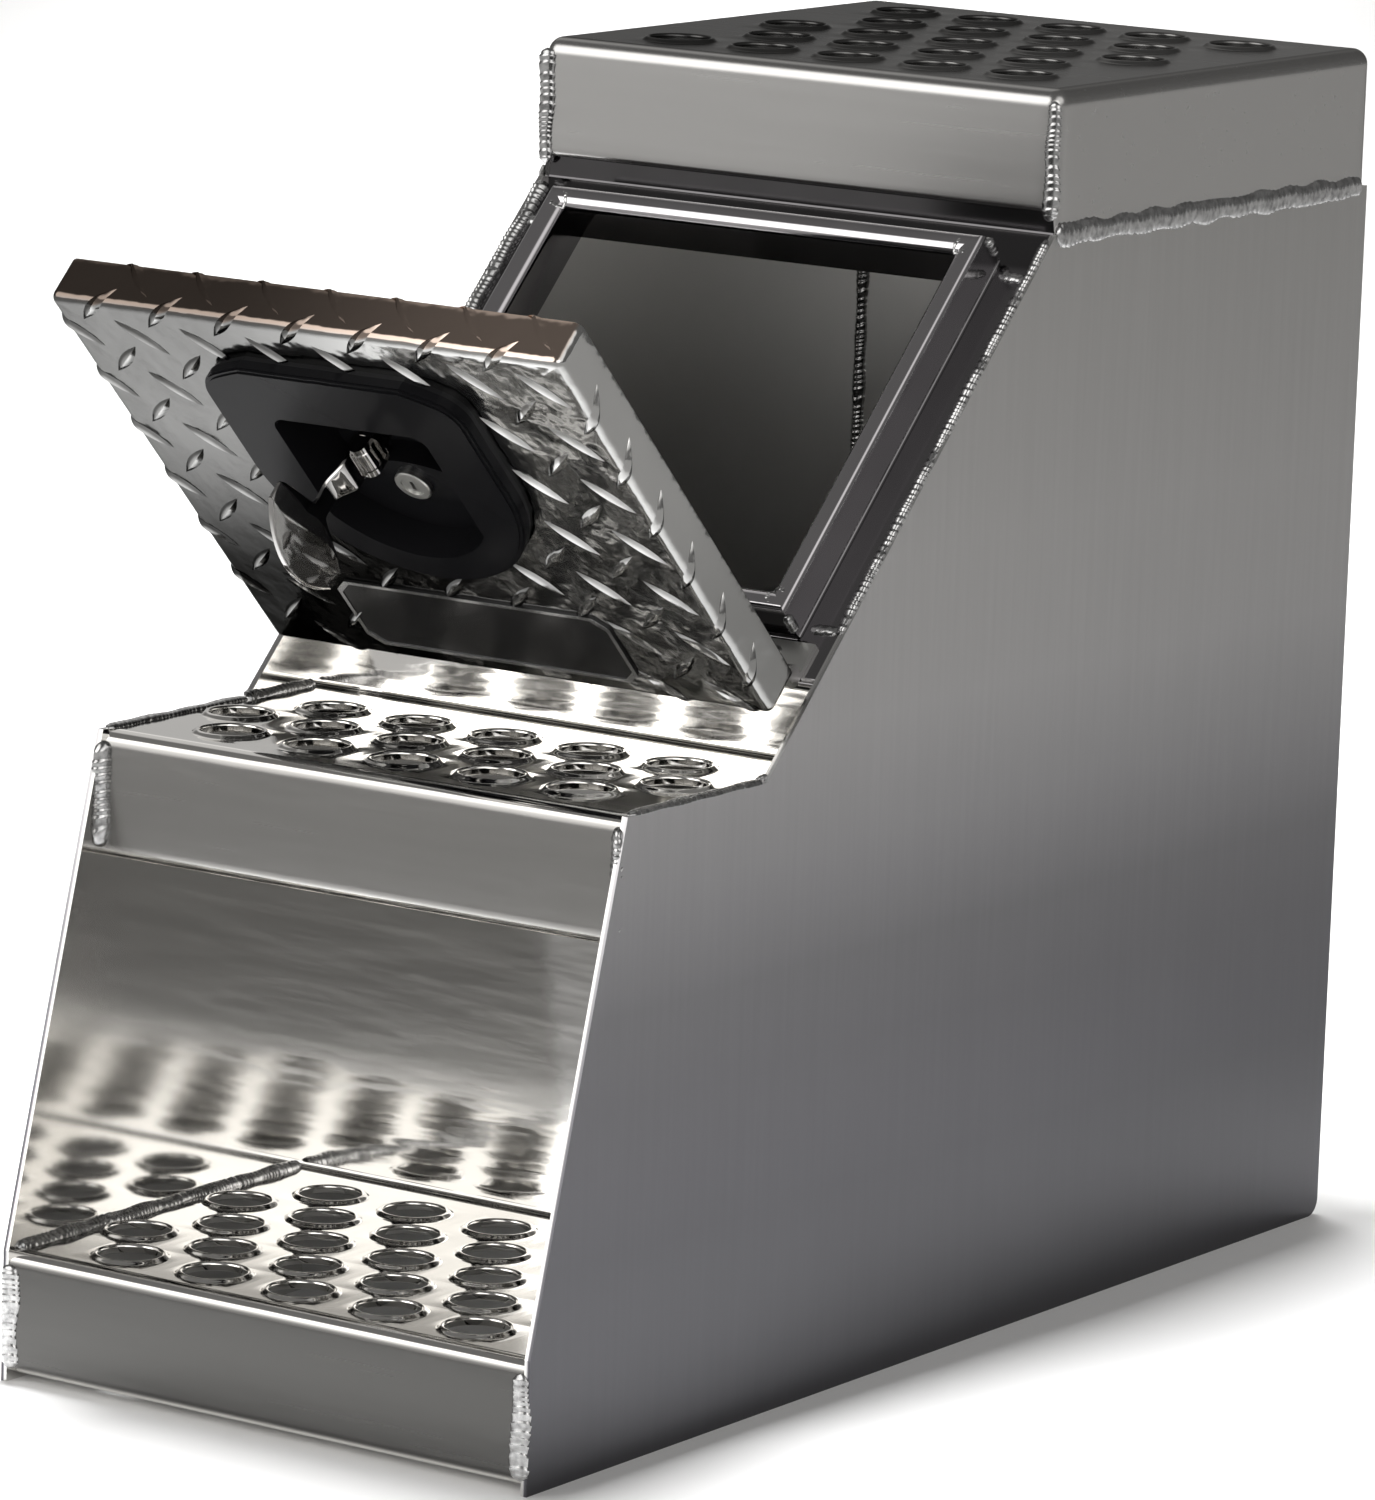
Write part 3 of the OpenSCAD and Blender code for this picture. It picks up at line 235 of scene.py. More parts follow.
def tube(rings):
    """Vertices and faces of closed tubes: rings[k, i, j] is point j round ring i of tube k; the
    quads are (i, j), (i, j + 1), (i + 1, j + 1), (i + 1, j), and the end rings are capped."""
    k, m, n = rings.shape[:3]
    grid = np.arange(k * m * n).reshape(k, m, n)
    ahead = np.roll(grid, -1, axis=2)
    quads = np.stack([grid[:, :-1], ahead[:, :-1], ahead[:, 1:], grid[:, 1:]], axis=-1).reshape(-1, 4)
    caps = np.concatenate([grid[:, 0, ::-1], grid[:, -1]])
    return rings.reshape(-1, 3), [quads, caps]


def ring_solid(rings):
    """Vertices and faces of solids that close in both directions, such as a sheet round a hole:
    rings[k, i, j] is point j of ring i, and the last ring joins the first."""
    k, m, n = rings.shape[:3]
    grid = np.arange(k * m * n).reshape(k, m, n)
    over, ahead = np.roll(grid, -1, axis=1), np.roll(grid, -1, axis=2)
    quads = np.stack([grid, ahead, np.roll(over, -1, axis=2), over], axis=-1).reshape(-1, 4)
    return rings.reshape(-1, 3), [quads]


def build(name, shapes, body, paint, replaces=(), crease=40):
    """One smooth mesh from tubes (vertices, [quads, caps]), whose faces are turned outward when
    the volume, the sum of v0 . (v1 x v2) / 6 over the triangles, is negative."""
    points, loops, sizes, start = [], [], [], 0
    for vertices, groups in shapes:
        volume = 0.0
        for faces in groups:
            for j in range(1, faces.shape[1] - 1):
                a, b, c = vertices[faces[:, 0]], vertices[faces[:, j]], vertices[faces[:, j + 1]]
                volume += np.einsum("ij,ij->", a, np.cross(b, c))
        for faces in groups:
            faces = faces if volume > 0 else faces[:, ::-1]
            loops.append((faces + start).ravel())
            sizes.append(np.full(len(faces), faces.shape[1]))
        points.append(vertices)
        start += len(vertices)
    points, loops, sizes = np.concatenate(points), np.concatenate(loops), np.concatenate(sizes)
    mesh = bpy.data.meshes.new(name)
    mesh.vertices.add(len(points))
    mesh.vertices.foreach_set("co", points.astype(np.float32).ravel())
    mesh.loops.add(len(loops))
    mesh.loops.foreach_set("vertex_index", loops.astype(np.int32))
    mesh.polygons.add(len(sizes))
    mesh.polygons.foreach_set("loop_start", np.concatenate([[0], np.cumsum(sizes)[:-1]]).astype(np.int32))
    mesh.polygons.foreach_set("loop_total", sizes.astype(np.int32))
    mesh.update(calc_edges=True)
    mesh.polygons.foreach_set("use_smooth", np.ones(len(sizes), bool))
    mesh.validate()
    mesh.set_sharp_from_angle(angle=np.radians(crease))
    mesh.materials.append(paint.material)
    piece = bpy.data.objects.new(name, mesh)
    bpy.context.scene.collection.objects.link(piece)
    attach(piece, body)
    if replaces:
        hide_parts(*replaces)
    return piece


# Places are worked out in millimetres from the lower step's face, as the box was measured,
# and turned into the frame's metres at the end.
BOX_W, INNER_W, BOX_D, SHEET = 304.8, 298.4, 711.2, 3.2
LOW_Z, MID_Z, SEAM_Z, BOX_H = 63.5, 304.8, 539.6, 609.6
MID_Y, RISER_Y, SLOPE_Y, CAP_Y = 63.5, 231.0, 176.0, 410.8
LOW_WALL_Y, BAND = 228.6, 2.8
R2 = np.sqrt(0.5)


def metres(points):
    """Millimetres from the lower step's face to metres in the frame: (x, y - 355.6, z) / 1000."""
    return (np.asarray(points, float) - (0, BOX_D / 2, 0)) / 1000


def on_slope(x, s, off):
    """A point of the slope's axes: y = 176 + (s - off) / sqrt 2, z = 304.8 + (s + off) / sqrt 2."""
    x, s, off = np.broadcast_arrays(np.asarray(x, float), s, off)
    return np.stack([x, SLOPE_Y + (s - off) * R2, MID_Z + (s + off) * R2], axis=-1)


def on_door(x, v, p):
    """A point of the open door's axes, which is on_slope(x, 31.1 - p, 8.6 + v)."""
    return on_slope(x, 31.1 - np.asarray(p, float), 8.6 + np.asarray(v, float))


X, Y, Z = np.eye(3)
UP_SLOPE, OFF_SLOPE = np.array([0, R2, R2]), np.array([0, -R2, R2])


# Weld beads. Each seam of the box is one hand-laid bead of aluminium: a low tube of metal with
# a ripple at every dab of the rod. They lie in the corners and over the joints of the sheets.
def bead(start, end, side, out, width, height, seed, pitch=3.1, sink=0.5, ripple=0.16, round_ends=5.0):
    """A rippled bead from start to end. Its section is the ellipse side * (w / 2) * cos a
    + out * h * sin a, and both axes swell with 1 + ripple * wave(s / pitch + 0.4 * cos^2 a),
    slow waves and rounded ends."""
    start, end = np.asarray(start, float), np.asarray(end, float)
    side, out = np.asarray(side, float), np.asarray(out, float)
    length = np.linalg.norm(end - start)
    rows = int(max(14, length / pitch * 7))
    u = np.linspace(0, 1, rows)[:, None]
    a = np.linspace(0, 2 * np.pi, 16, endpoint=False)[None, :]
    rng = np.random.default_rng(seed)
    slow = sum(w * np.sin(u * length / q + rng.uniform(0, 6.3)) for w, q in ((0.07, 4.3), (0.06, 9.1), (0.05, 17.0)))
    jitter = 0.6 * np.sin(u * length / 7.7 + rng.uniform(0, 6.3)) + 0.3 * np.sin(u * length / 3.1)
    phase = u * length / pitch + 0.35 * np.cos(a + 0.5) ** 2 + jitter
    saw = phase - np.floor(phase)
    wave = np.where(saw < 0.75, saw / 0.75, (1 - saw) / 0.25) - 0.5
    swell = (1 + slow) * (1 + ripple * wave)
    edge = np.minimum(u, 1 - u) * length / round_ends
    swell = swell * np.sqrt(np.clip(1 - (1 - np.clip(edge, 0.02, 1)) ** 2, 0.0, 1))
    rise = np.where(np.sin(a) > 0, height, sink)
    centre = start + (end - start) * u
    wobble = 0.05 * width * np.sin(u * length / 5.1 + rng.uniform(0, 6.3))
    rings = (centre[:, None, :] + (side * 1.0)[None, None, :] * (width / 2 * np.cos(a) * swell + wobble)[..., None]
             + out[None, None, :] * (rise * np.sin(a) * swell)[..., None])
    return tube(metres(rings)[None])


def corner_bead(start, end, a, b, leg, seed, **more):
    """A bead in the inside corner of two sheets that leave it along a and b."""
    a, b = np.asarray(a, float), np.asarray(b, float)
    out = (a + b) * R2
    lift = out * leg * 0.3
    return bead(start + lift, end + lift, (a - b) * R2, out, leg * 1.9, leg * 0.62, seed, sink=leg * 0.5, **more)


def puddle(sx, ss, seed):
    """The horseshoe of weld on a corner of the lip: a tube of radius 1.6 whose middle line is
    (3.8, 3.8) + 4.2 * (cos t, sin t) outside the opening and follows the lip's round fold."""
    t = np.linspace(0.5 * np.pi, 2.0 * np.pi, 48)[:, None]
    a = np.linspace(0, 2 * np.pi, 12, endpoint=False)[None, :]
    fade = np.sqrt(np.clip(1 - np.linspace(-1, 1, 48) ** 6, 0.02, 1))[:, None]
    swell = 1.6 * fade * (1 + 0.13 * np.sin(t * 9 + seed) + 0.08 * np.sin(t * 17))
    out_x, out_s = 3.8 + (4.2 + swell * np.cos(a)) * np.cos(t), 3.8 + (4.2 + swell * np.cos(a)) * np.sin(t)
    line = np.clip(3.8 + 4.2 * np.maximum(np.cos(t), np.sin(t)), 0.1, 6.0)
    off = 12.0 + np.sqrt(36.0 - (6.0 - line) ** 2) - 0.6 + swell * 0.45 * np.sin(a)
    return tube(metres(on_slope(sx * (115.0 + out_x), (303.06 + out_s) if ss > 0 else (96.0 - out_s), off))[None])


weld = Paint("weld", Metallic=1.0, Roughness=0.24)
weld.set(Base_Color=weld.ramp(weld.noise(260.0, 3.0), (0.32, 0.28), (0.62, 0.60)))
shapes = []
for n, sx in enumerate((-1, 1)):
    front_x = sx * (BOX_W / 2 - 4.5)
    shapes.append(bead((front_x, 0, 7), (front_x, 0, 57), X, -Y, 10.0, 1.9, 11 + n, pitch=3.4, ripple=0.15))
    corner = np.array([sx * INNER_W / 2, 0, LOW_Z])
    shapes.append(corner_bead(corner + Y * 6, corner + Y * (LOW_WALL_Y - 2), -sx * X, Z, 4.2, 21 + n))
build("lower_step_welds", shapes, "box", weld, ["lower_step_beads"])

shapes = []
for n, sx in enumerate((-1, 1)):
    corner = np.array([sx * INNER_W / 2, MID_Y, MID_Z])
    shapes.append(corner_bead(corner - Z * 56, corner - Z * 5, -sx * X, -Y, 5.0, 31 + n, pitch=4.2, ripple=0.15))
    seam = np.array([sx * (BOX_W / 2 - 2.7), 0, MID_Z])
    shapes.append(bead(seam + Y * (MID_Y + 4), seam + Y * (SLOPE_Y - 1), X, Z, 6.4, 2.0, 41 + n))
    corner = np.array([sx * INNER_W / 2, 0, MID_Z])
    shapes.append(corner_bead(corner + Y * (SLOPE_Y - 3), corner + Y * (RISER_Y - 2), -sx * X, Z, 3.6, 51 + n))
build("middle_step_welds", shapes, "box", weld, ["middle_step_beads"])

shapes = []
for n, sx in enumerate((-1, 1)):
    low, high = on_slope(sx * INNER_W / 2, 86.0, -BAND), on_slope(sx * INNER_W / 2, 330.0, -BAND)
    shapes.append(corner_bead(low, high, -sx * X, OFF_SLOPE, 4.4, 61 + n, pitch=2.9, ripple=0.22))
build("panel_edge_welds", shapes, "box", weld, ["panel_edge_beads"])

shapes = []
for n, sx in enumerate((-1, 1)):
    front_x = sx * (BOX_W / 2 - 3.5)
    shapes.append(bead((front_x, CAP_Y, 546), (front_x, CAP_Y, 604), X, -Y, 8.4, 2.1, 71 + n, pitch=3.3, ripple=0.16))
    seam = np.array([sx * BOX_W / 2, 0, SEAM_Z])
    shapes.append(bead(seam + Y * (CAP_Y + 1), seam + Y * (BOX_D - 6), Z, sx * X, 11.0, 2.2, 81 + n, pitch=3.6))
build("cap_welds", shapes, "box", weld, ["cap_beads"])

shapes = []
for n, sx in enumerate((-1, 1)):
    for k, s in enumerate((90.0, 306.1)):
        low, high = on_slope(sx * 131.0, s, -BAND), on_slope(sx * 147.0, s, -BAND)
        shapes.append(bead(low, high, UP_SLOPE, OFF_SLOPE, 6.0, 1.5, 91 + 2 * n + k))
for n, (x, s) in enumerate(((-127, 84.0), (127, 84.0), (-127, 315.06), (127, 315.06))):
    shapes.append(bead(on_slope(x, s, 1.7), on_slope(x, s, 13.5), X, UP_SLOPE, 5.2, 2.6, 111 + n, sink=2.6, round_ends=2.5))
for n, (sx, ss) in enumerate(((-1, -1), (1, -1), (-1, 1), (1, 1))):
    shapes.append(puddle(sx, ss, 121 + n))
build("frame_welds", shapes, "box", weld, ["frame_beads"])

shapes = []
for n, sx in enumerate((-1, 1)):
    corner = np.array([sx * INNER_W / 2, BOX_D - SHEET, 0])
    shapes.append(corner_bead(corner + Z * 18, corner + Z * 528, -sx * X, -Y, 3.6, 101 + n))
build("back_welds", shapes, "box", weld, ["back_beads"])



def wear(nodes, slot, paint):
    """Gives CAD nodes one material; the slot is not used."""
    for name in nodes:
        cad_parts[name].data.materials.clear()
        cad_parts[name].data.materials.append(paint.material)


# The two side panels are flat aluminium sheets sheared to the stepped outline. Outside they have the mill finish,
# with faint upright grain, and painted shade: darker towards the bottom and the back, a painted reflection of dark
# floor. Inside they are bright, with painted shade in the foot space.
panel = Paint("panel", Metallic=1.0)
x, y, z = panel.axes()
outside = x.size().step(0.1500, 0.1515)
grain = panel.noise(1.0, 3.0, 0.6, panel.stretched((9, 260, 9)))
patch = panel.noise(5.0, 2.0, 0.5)
# Painted shade: the outside tone ramps with height, darkest at the foot, and is darker again towards the back.
height = panel.ramp(z * 1.6, (0.05, 0.10), (0.16, 0.12), (0.27, 0.175), (0.34, 0.23), (0.43, 0.40), (0.52, 0.54),
                    (0.64, 0.58), (0.80, 0.55), (0.95, 0.51))
shade = height * (1 - 0.12 * y.step(-0.15, 0.35)) * (0.94 + 0.12 * grain)
# Painted shade: inside, below the middle step's level, the panels are darker where they wall the foot space, and darker
# still from 0.10 to 0.14 m up.
inside = 0.90 - (0.20 + 0.10 * z.step(0.10, 0.14)) * (0.304 - z).step(-0.001, 0.001)
tone = outside * shade + (1 - outside) * inside
# The tint turns bluer towards the bottom, where the painted shade is darkest.
tint = panel.ramp(outside * z * 1.6 + (1 - outside) * 0.9, (0.2, (0.93, 0.92, 1.0, 1)), (0.55, (0.99, 0.98, 0.985, 1)), (0.9, (1.0, 0.99, 0.97, 1)))
panel.set(Base_Color=panel.gray(tone, tint), Roughness=0.09 + outside * (0.21 + 0.06 * patch))
wear(["left_side_panel", "right_side_panel"], "side_sheet", panel)


# The lower and the middle step are each one sheet of bright aluminium, folded down at the nose
# and up at the back, with raised holes drawn through the tread. The flanges in front are rougher and
# carry painted shade, a darker tone than the tread.
def step_paint(name, face_y, flange_shade, wall_shade_z):
    """Bright sheet whose flange, the metal in front of face_y + 2 mm, is rougher and darker by
    painted shade, and whose back wall is darker by painted shade from wall_shade_z on."""
    paint = Paint(name, Metallic=1.0)
    x, y, z = paint.axes()
    behind = y.step(face_y + 0.0002, face_y + 0.0016)
    grain = paint.noise(1.0, 3.0, 0.6, paint.stretched((7, 300, 300)))
    patch = paint.noise(9.0, 3.0, 0.5)
    # Painted shade on the back wall: much darker from wall_shade_z up, a little lighter again from 0.16 to 0.235 m; the
    # patch noise is tone that differs at random.
    sheet_tone_and_wall_shade = (0.84 + 0.06 * patch) * (1 - 0.64 * z.step(wall_shade_z, wall_shade_z + 0.035) + 0.06 * z.step(0.16, 0.235))
    tone = behind * sheet_tone_and_wall_shade + (1 - behind) * flange_shade * (0.95 + 0.1 * grain)
    waves = paint.bump(paint.noise(1.0, 2.0, 0.5, paint.stretched((14, 14, 70))), 0.0006, 0.5)
    paint.set(Base_Color=paint.gray(tone, (1.0, 0.985, 0.955, 1)), Normal=waves,
              Roughness=behind * (0.06 + 0.04 * patch) + (1 - behind) * (0.26 + 0.02 * grain))
    return paint


HOLE_R, FLARE_R, RIM_H, HOLE_PITCH = 15.0, 19.5, 1.9, 50.4
TILE_W = 46.0


def drawn_tiles(centres, depth, top):
    """One tile of sheet round each hole, closed all round. Going inward the top rises as
    rim * (3 q^2 - 2 q^3), turns over the lip in a quarter circle, drops down the wall and
    leaves again below in the quarter ellipse of the bell mouth."""
    side = np.linspace(-1, 1, 13)[:-1]
    ones = np.ones(12)
    edge = np.concatenate([np.stack([side, -ones], 1), np.stack([ones, side], 1),
                           np.stack([-side, ones], 1), np.stack([-ones, -side], 1)]) * (TILE_W / 2, depth / 2)
    ray = edge / np.linalg.norm(edge, axis=1)[:, None]
    q = np.linspace(0, 1, 9)
    lip = 1.4
    t = np.linspace(0, np.pi / 2, 5)[1:]
    radii = np.concatenate([FLARE_R - (FLARE_R - HOLE_R - lip) * q, HOLE_R + lip - lip * np.sin(t),
                            HOLE_R + (FLARE_R - HOLE_R) * (1 - np.cos(t * 1.0))])
    heights = np.concatenate([RIM_H * (3 * q ** 2 - 2 * q ** 3), RIM_H - lip * (1 - np.cos(t)),
                              -1.2 - (SHEET - 1.2) * np.sin(t)])
    flat = [edge] + [ray * r for r in radii] + [edge]
    level = [0.0] + list(heights) + [-SHEET]
    tile = np.stack([np.concatenate([f, np.full((len(f), 1), h)], axis=1) for f, h in zip(flat, level)])
    places = np.concatenate([centres, np.full((len(centres), 1), top)], axis=1)
    return ring_solid(metres(tile[None] + places[:, None, None, :]))


def block(low, high):
    """A plain rectangle of the sheet between two corners, closed all round."""
    (x0, y0, z0), (x1, y1, z1) = low, high
    loop = np.array([(x0, y0), (x1, y0), (x1, y1), (x0, y1)], float)
    return tube(metres(np.stack([np.concatenate([loop, np.full((4, 1), z)], axis=1) for z in (z0, z1)])[None]))


def tread(half_w, y0, y1, top, rows, start, pitch, long_n, long_first, shift=0.0):
    """A flat tread from y0 to y1 with rows of drawn holes; plain rectangles fill what the
    tiles leave between them, beside them and at both ends."""
    shapes, centres = [], []
    for row in range(rows):
        n = long_n if (row % 2 == 0) == long_first else long_n - 1
        xs = shift + (np.arange(n) - (n - 1) / 2) * HOLE_PITCH
        y = start + row * pitch
        centres.append(np.stack([xs, np.full(n, y)], axis=1))
        lefts = np.concatenate([[-half_w], xs + TILE_W / 2])
        rights = np.concatenate([xs - TILE_W / 2, [half_w]])
        for left, right in zip(lefts, rights):
            shapes.append(block((left, y - pitch / 2, top - SHEET), (right, y + pitch / 2, top)))
    shapes.append(drawn_tiles(np.concatenate(centres), pitch, top))
    shapes.append(block((-half_w, y0, top - SHEET), (half_w, start - pitch / 2, top)))
    shapes.append(block((-half_w, start + (rows - 0.5) * pitch, top - SHEET), (half_w, y1, top)))
    return shapes


def folded_loop(points, radii, thick):
    """Outline of a folded sheet's section. The outer face runs along the points with an arc of
    the given radius at each corner, tangent length r * tan(turn / 2); the metal is to its left."""
    points = np.asarray(points, float)
    leg = np.diff(points, axis=0)
    leg /= np.linalg.norm(leg, axis=1)[:, None]
    left = np.stack([-leg[:, 1], leg[:, 0]], axis=1)
    face, normal = [points[:1]], [left[:1]]
    for i, r in enumerate(radii):
        turn = np.arctan2(leg[i, 0] * leg[i + 1, 1] - leg[i, 1] * leg[i + 1, 0], leg[i] @ leg[i + 1])
        first = points[i + 1] - leg[i] * r * np.tan(abs(turn) / 2)
        centre = first + left[i] * np.sign(turn) * r
        t = np.linspace(0, turn, 11)[:, None]
        turned = left[i] * np.cos(t) + np.array([-left[i][1], left[i][0]]) * np.sin(t)
        face.append(centre - turned * np.sign(turn) * r)
        normal.append(turned)
    face = np.concatenate(face + [points[-1:]])
    normal = np.concatenate(normal + [left[-1:]])
    return np.concatenate([face, (face + normal * thick)[::-1]])


def folded_strip(points, radii, thick, x0, x1):
    """A folded sheet across the box, its section given in (y, z)."""
    loop = folded_loop(points, radii, thick)
    rings = np.stack([np.concatenate([np.full((len(loop), 1), x), loop], axis=1) for x in (x0, x1)])
    return tube(metres(rings[None]))


half = INNER_W / 2
shapes = tread(half, 8.0, 225.6, LOW_Z, 5, 30.6, 39.4, 6, False)
shapes.append(folded_strip([(LOW_WALL_Y, MID_Z - SHEET), (LOW_WALL_Y, LOW_Z), (225.6, LOW_Z)], [3.0], SHEET, -half, half))
shapes.append(folded_strip([(8.0, LOW_Z), (0, LOW_Z), (0, 4.2), (14, 4.2)], [8.0, 6.2], SHEET, -half, half))
build("lower_step", shapes, "box", step_paint("lower_step", -0.3556, 0.105, 0.10), ["lower_step_sheet"])

shapes = tread(half, MID_Y + 8.0, RISER_Y - 3.0, MID_Z, 3, MID_Y + 36.5, 39.9, 6, False)
shapes.append(folded_strip([(RISER_Y, 338.5), (RISER_Y, MID_Z), (RISER_Y - 3.0, MID_Z)], [3.0], SHEET, -half, half))
shapes.append(folded_strip([(MID_Y + 8.0, MID_Z), (MID_Y, MID_Z), (MID_Y, 243.0), (MID_Y + 14, 243.0)], [8.0, 8.0],
                           SHEET, -half, half))
build("middle_step", shapes, "box", step_paint("middle_step", -0.2921, 0.28, 0.60), ["middle_step_sheet"])


def pan_edge(half, per_side=60, per_corner=9):
    """The edge of a pan's flat face, in order round it, and its outward normal: straight sides
    of a rectangle of the given half sizes, and corners where only the normal turns."""
    edge, normal = [], []
    for k in range(4):
        turn = np.linalg.matrix_power(np.array([[0, -1], [1, 0]]), k)
        size = half if k % 2 == 0 else half[::-1]
        t = np.linspace(-1, 1, per_side)[:, None]
        bend = np.linspace(0, np.pi / 2, per_corner)[1:-1]
        edge += [np.concatenate([np.full((per_side, 1), size[0]), t * size[1]], axis=1) @ turn.T,
                 np.repeat([[size[0], size[1]]], len(bend), 0) @ turn.T]
        normal += [np.repeat([[1.0, 0.0]], per_side, 0) @ turn.T, np.stack([np.cos(bend), np.sin(bend)], 1) @ turn.T]
    return np.concatenate(edge), np.concatenate(normal)

# The cap over the store is a pan folded from the same sheet as the panels, its corners welded.
cap = Paint("cap", Metallic=1.0, Specular_Tint=(0.4, 0.4, 0.4, 1))
x, y, z = cap.axes()
top = z.step(0.6088, 0.6096)
grain = cap.noise(1.0, 3.0, 0.6, cap.stretched((6, 200, 200)))
painted_light_sides = x.size().step(0.1510, 0.1522)
# Painted shade and light: the top is much darker than the folds and flanges, darker still on the left, and the sides
# are painted lighter than the front.
tone = (0.49 + 0.08 * painted_light_sides - (0.42 - 0.14 * x.step(-0.15, 0.12)) * top) * (0.96 + 0.08 * grain)
cap.set(Base_Color=cap.gray(tone, (1.0, 0.99, 0.975, 1)), Roughness=0.24 + 0.05 * grain)
CAP_FOLD, CAP_SIDE_H, CAP_FRONT_H = 8.0, 70.0, 54.0


def cap_skirt():
    """The cap's folds and flanges, closed all round: with N the edge's normal, the fold is
    B + N * r * sin t at height r * (cos t - 1), and the inner face has radius r - 3.2."""
    edge, normal = pan_edge(np.array([BOX_W / 2 - CAP_FOLD, (BOX_D - CAP_Y) / 2 - CAP_FOLD]))
    front = (normal[:, 1] < -0.3) & (np.abs(edge[:, 0] + normal[:, 0] * CAP_FOLD) < INNER_W / 2)
    low = -np.where(front, CAP_FRONT_H, CAP_SIDE_H)
    rings = []
    for r, top, order in ((CAP_FOLD, 0.0, 1), (CAP_FOLD - SHEET, -SHEET, -1)):
        face = [(edge + normal * r * np.sin(t), np.full(len(edge), top - r * (1 - np.cos(t))))
                for t in np.linspace(0, np.pi / 2, 9)]
        face += [(edge + normal * r, -CAP_FOLD + (low + CAP_FOLD) * q) for q in (0.02, 0.5, 0.98, 1.0)]
        rings += face[::order]
    grid = np.stack([np.concatenate([flat + (0, (BOX_D + CAP_Y) / 2), level[:, None] + BOX_H], axis=1)
                     for flat, level in rings])
    return ring_solid(metres(grid[None]))


shapes = tread(BOX_W / 2 - CAP_FOLD, CAP_Y + CAP_FOLD, BOX_D - CAP_FOLD, BOX_H, 5, CAP_Y + 39.8, 51.9, 5, True, 4.0)
shapes.append(cap_skirt())
shapes.append(folded_strip([(CAP_Y, BOX_H - CAP_FRONT_H), (CAP_Y, 549.9), (CAP_Y + 14, 549.9)], [3.3], SHEET,
                           -INNER_W / 2, INNER_W / 2))
build("step_cap", shapes, "box", cap, ["top_step_cap"])

# The door frame is four folded strips of smooth, brighter sheet, mitred and welded at the corners.
# Each has a raised weather lip round the opening, whose inner fold is wide and round.
strip = Paint("strip", Metallic=1.0, Roughness=0.12)
grain = strip.noise(1.0, 2.0, 0.5, strip.stretched((30, 6, 30)))
x, y, z = strip.axes()
off = (z - y - 0.4844) * float(R2)
along = (y + z - 0.1252) * float(R2)
# Painted shade and highlight: the header band above the lip, past 309 to 314 mm up the slope, is darker as shade under
# the cap, and the top of the lip, 13.5 to 16.5 mm out, is painted lighter as a highlight.
tone = (0.22 + 0.06 * grain) * (1 - 0.55 * along.step(0.309, 0.314) + 1.3 * off.step(0.0135, 0.0165))
strip.set(Base_Color=strip.gray(tone, (1.0, 0.97, 1.0, 1)))
FRAME_T, OPEN_W, OPEN_LO, OPEN_HI, LIP_W, LIP_H = 2.5, 115.0, 96.0, 303.06, 12.0, 18.0
BEND_S = 334.6
LIP_FOLDS = [2.0, 3.0, 6.0]


def lip(band, side):
    """One side of the lip, cut at both mitres: a point of its section at distance d outside the
    opening runs along x = +-(115 + d) or along s from 96 - d to 303 + d."""
    loop = folded_loop([(LIP_W + band, -BAND), (LIP_W, -BAND), (LIP_W, LIP_H), (0, LIP_H), (0, -8.0)], LIP_FOLDS, FRAME_T)
    out, off = np.minimum(loop[:, 0], LIP_W + band), loop[:, 1]
    miter = np.minimum(out, LIP_W)
    if side in ("left", "right"):
        sign = 1 if side == "right" else -1
        ends = [on_slope(sign * (OPEN_W + out), OPEN_LO - miter, off), on_slope(sign * (OPEN_W + out), OPEN_HI + miter, off)]
    else:
        s = OPEN_HI + out if side == "header" else OPEN_LO - out
        ends = [on_slope(-OPEN_W - miter, s, off), on_slope(OPEN_W + miter, s, off)]
    return tube(metres(np.stack(ends))[None])


def slope_block(x0, x1, s0, s1):
    """A plain rectangle of the frame's band."""
    low, high = [np.array([on_slope(x, s, off) for x, s in ((x0, s0), (x1, s0), (x1, s1), (x0, s1))])
                 for off in (-BAND - FRAME_T, -BAND)]
    return tube(metres(np.stack([low, high]))[None])


def slope_strip(points, radii, x0, x1):
    """A folded strip across the box, its section given in (s, off)."""
    loop = folded_loop(points, radii, FRAME_T)
    return tube(metres(np.stack([on_slope(x, loop[:, 0], loop[:, 1]) for x in (x0, x1)]))[None])


half = INNER_W / 2
build("header", [lip(4.0, "header"), slope_strip([(344.36, 6.96), (BEND_S, -BAND), (OPEN_HI + LIP_W + 4, -BAND)], [2.0],
                                                 -half, half),
                 slope_block(-half, -OPEN_W - LIP_W, 306.06, OPEN_HI + LIP_W + 4),
                 slope_block(OPEN_W + LIP_W, half, 306.06, OPEN_HI + LIP_W + 4)],
      "box", strip, ["frame_header"])
for side, sign in (("left", -1), ("right", 1)):
    build(f"{side}_jamb", [lip(2.0, side), slope_block(sign * (OPEN_W + LIP_W + 2), sign * half, 90.0, 306.06)],
          "box", strip, [f"frame_{side}_jamb"])
build("sill", [lip(4.0, "sill"), slope_strip([(OPEN_LO - LIP_W - 4, -BAND), (55.45, -BAND), (55.45 + 19.0, -BAND - 19.0)], [3.0],
                                             -half, half),
               slope_block(-half, -OPEN_W - LIP_W, OPEN_LO - LIP_W - 4, 90.0),
               slope_block(OPEN_W + LIP_W, half, OPEN_LO - LIP_W - 4, 90.0)],
      "box", strip, ["frame_sill"])

# The floor and the back of the store are one bent sheet, bright inside like the panels.
lining = Paint("lining", Base_Color=(0.84, 0.84, 0.83, 1), Metallic=1.0, Roughness=0.3)
wear(["floor_back_sheet"], "side_sheet", lining)

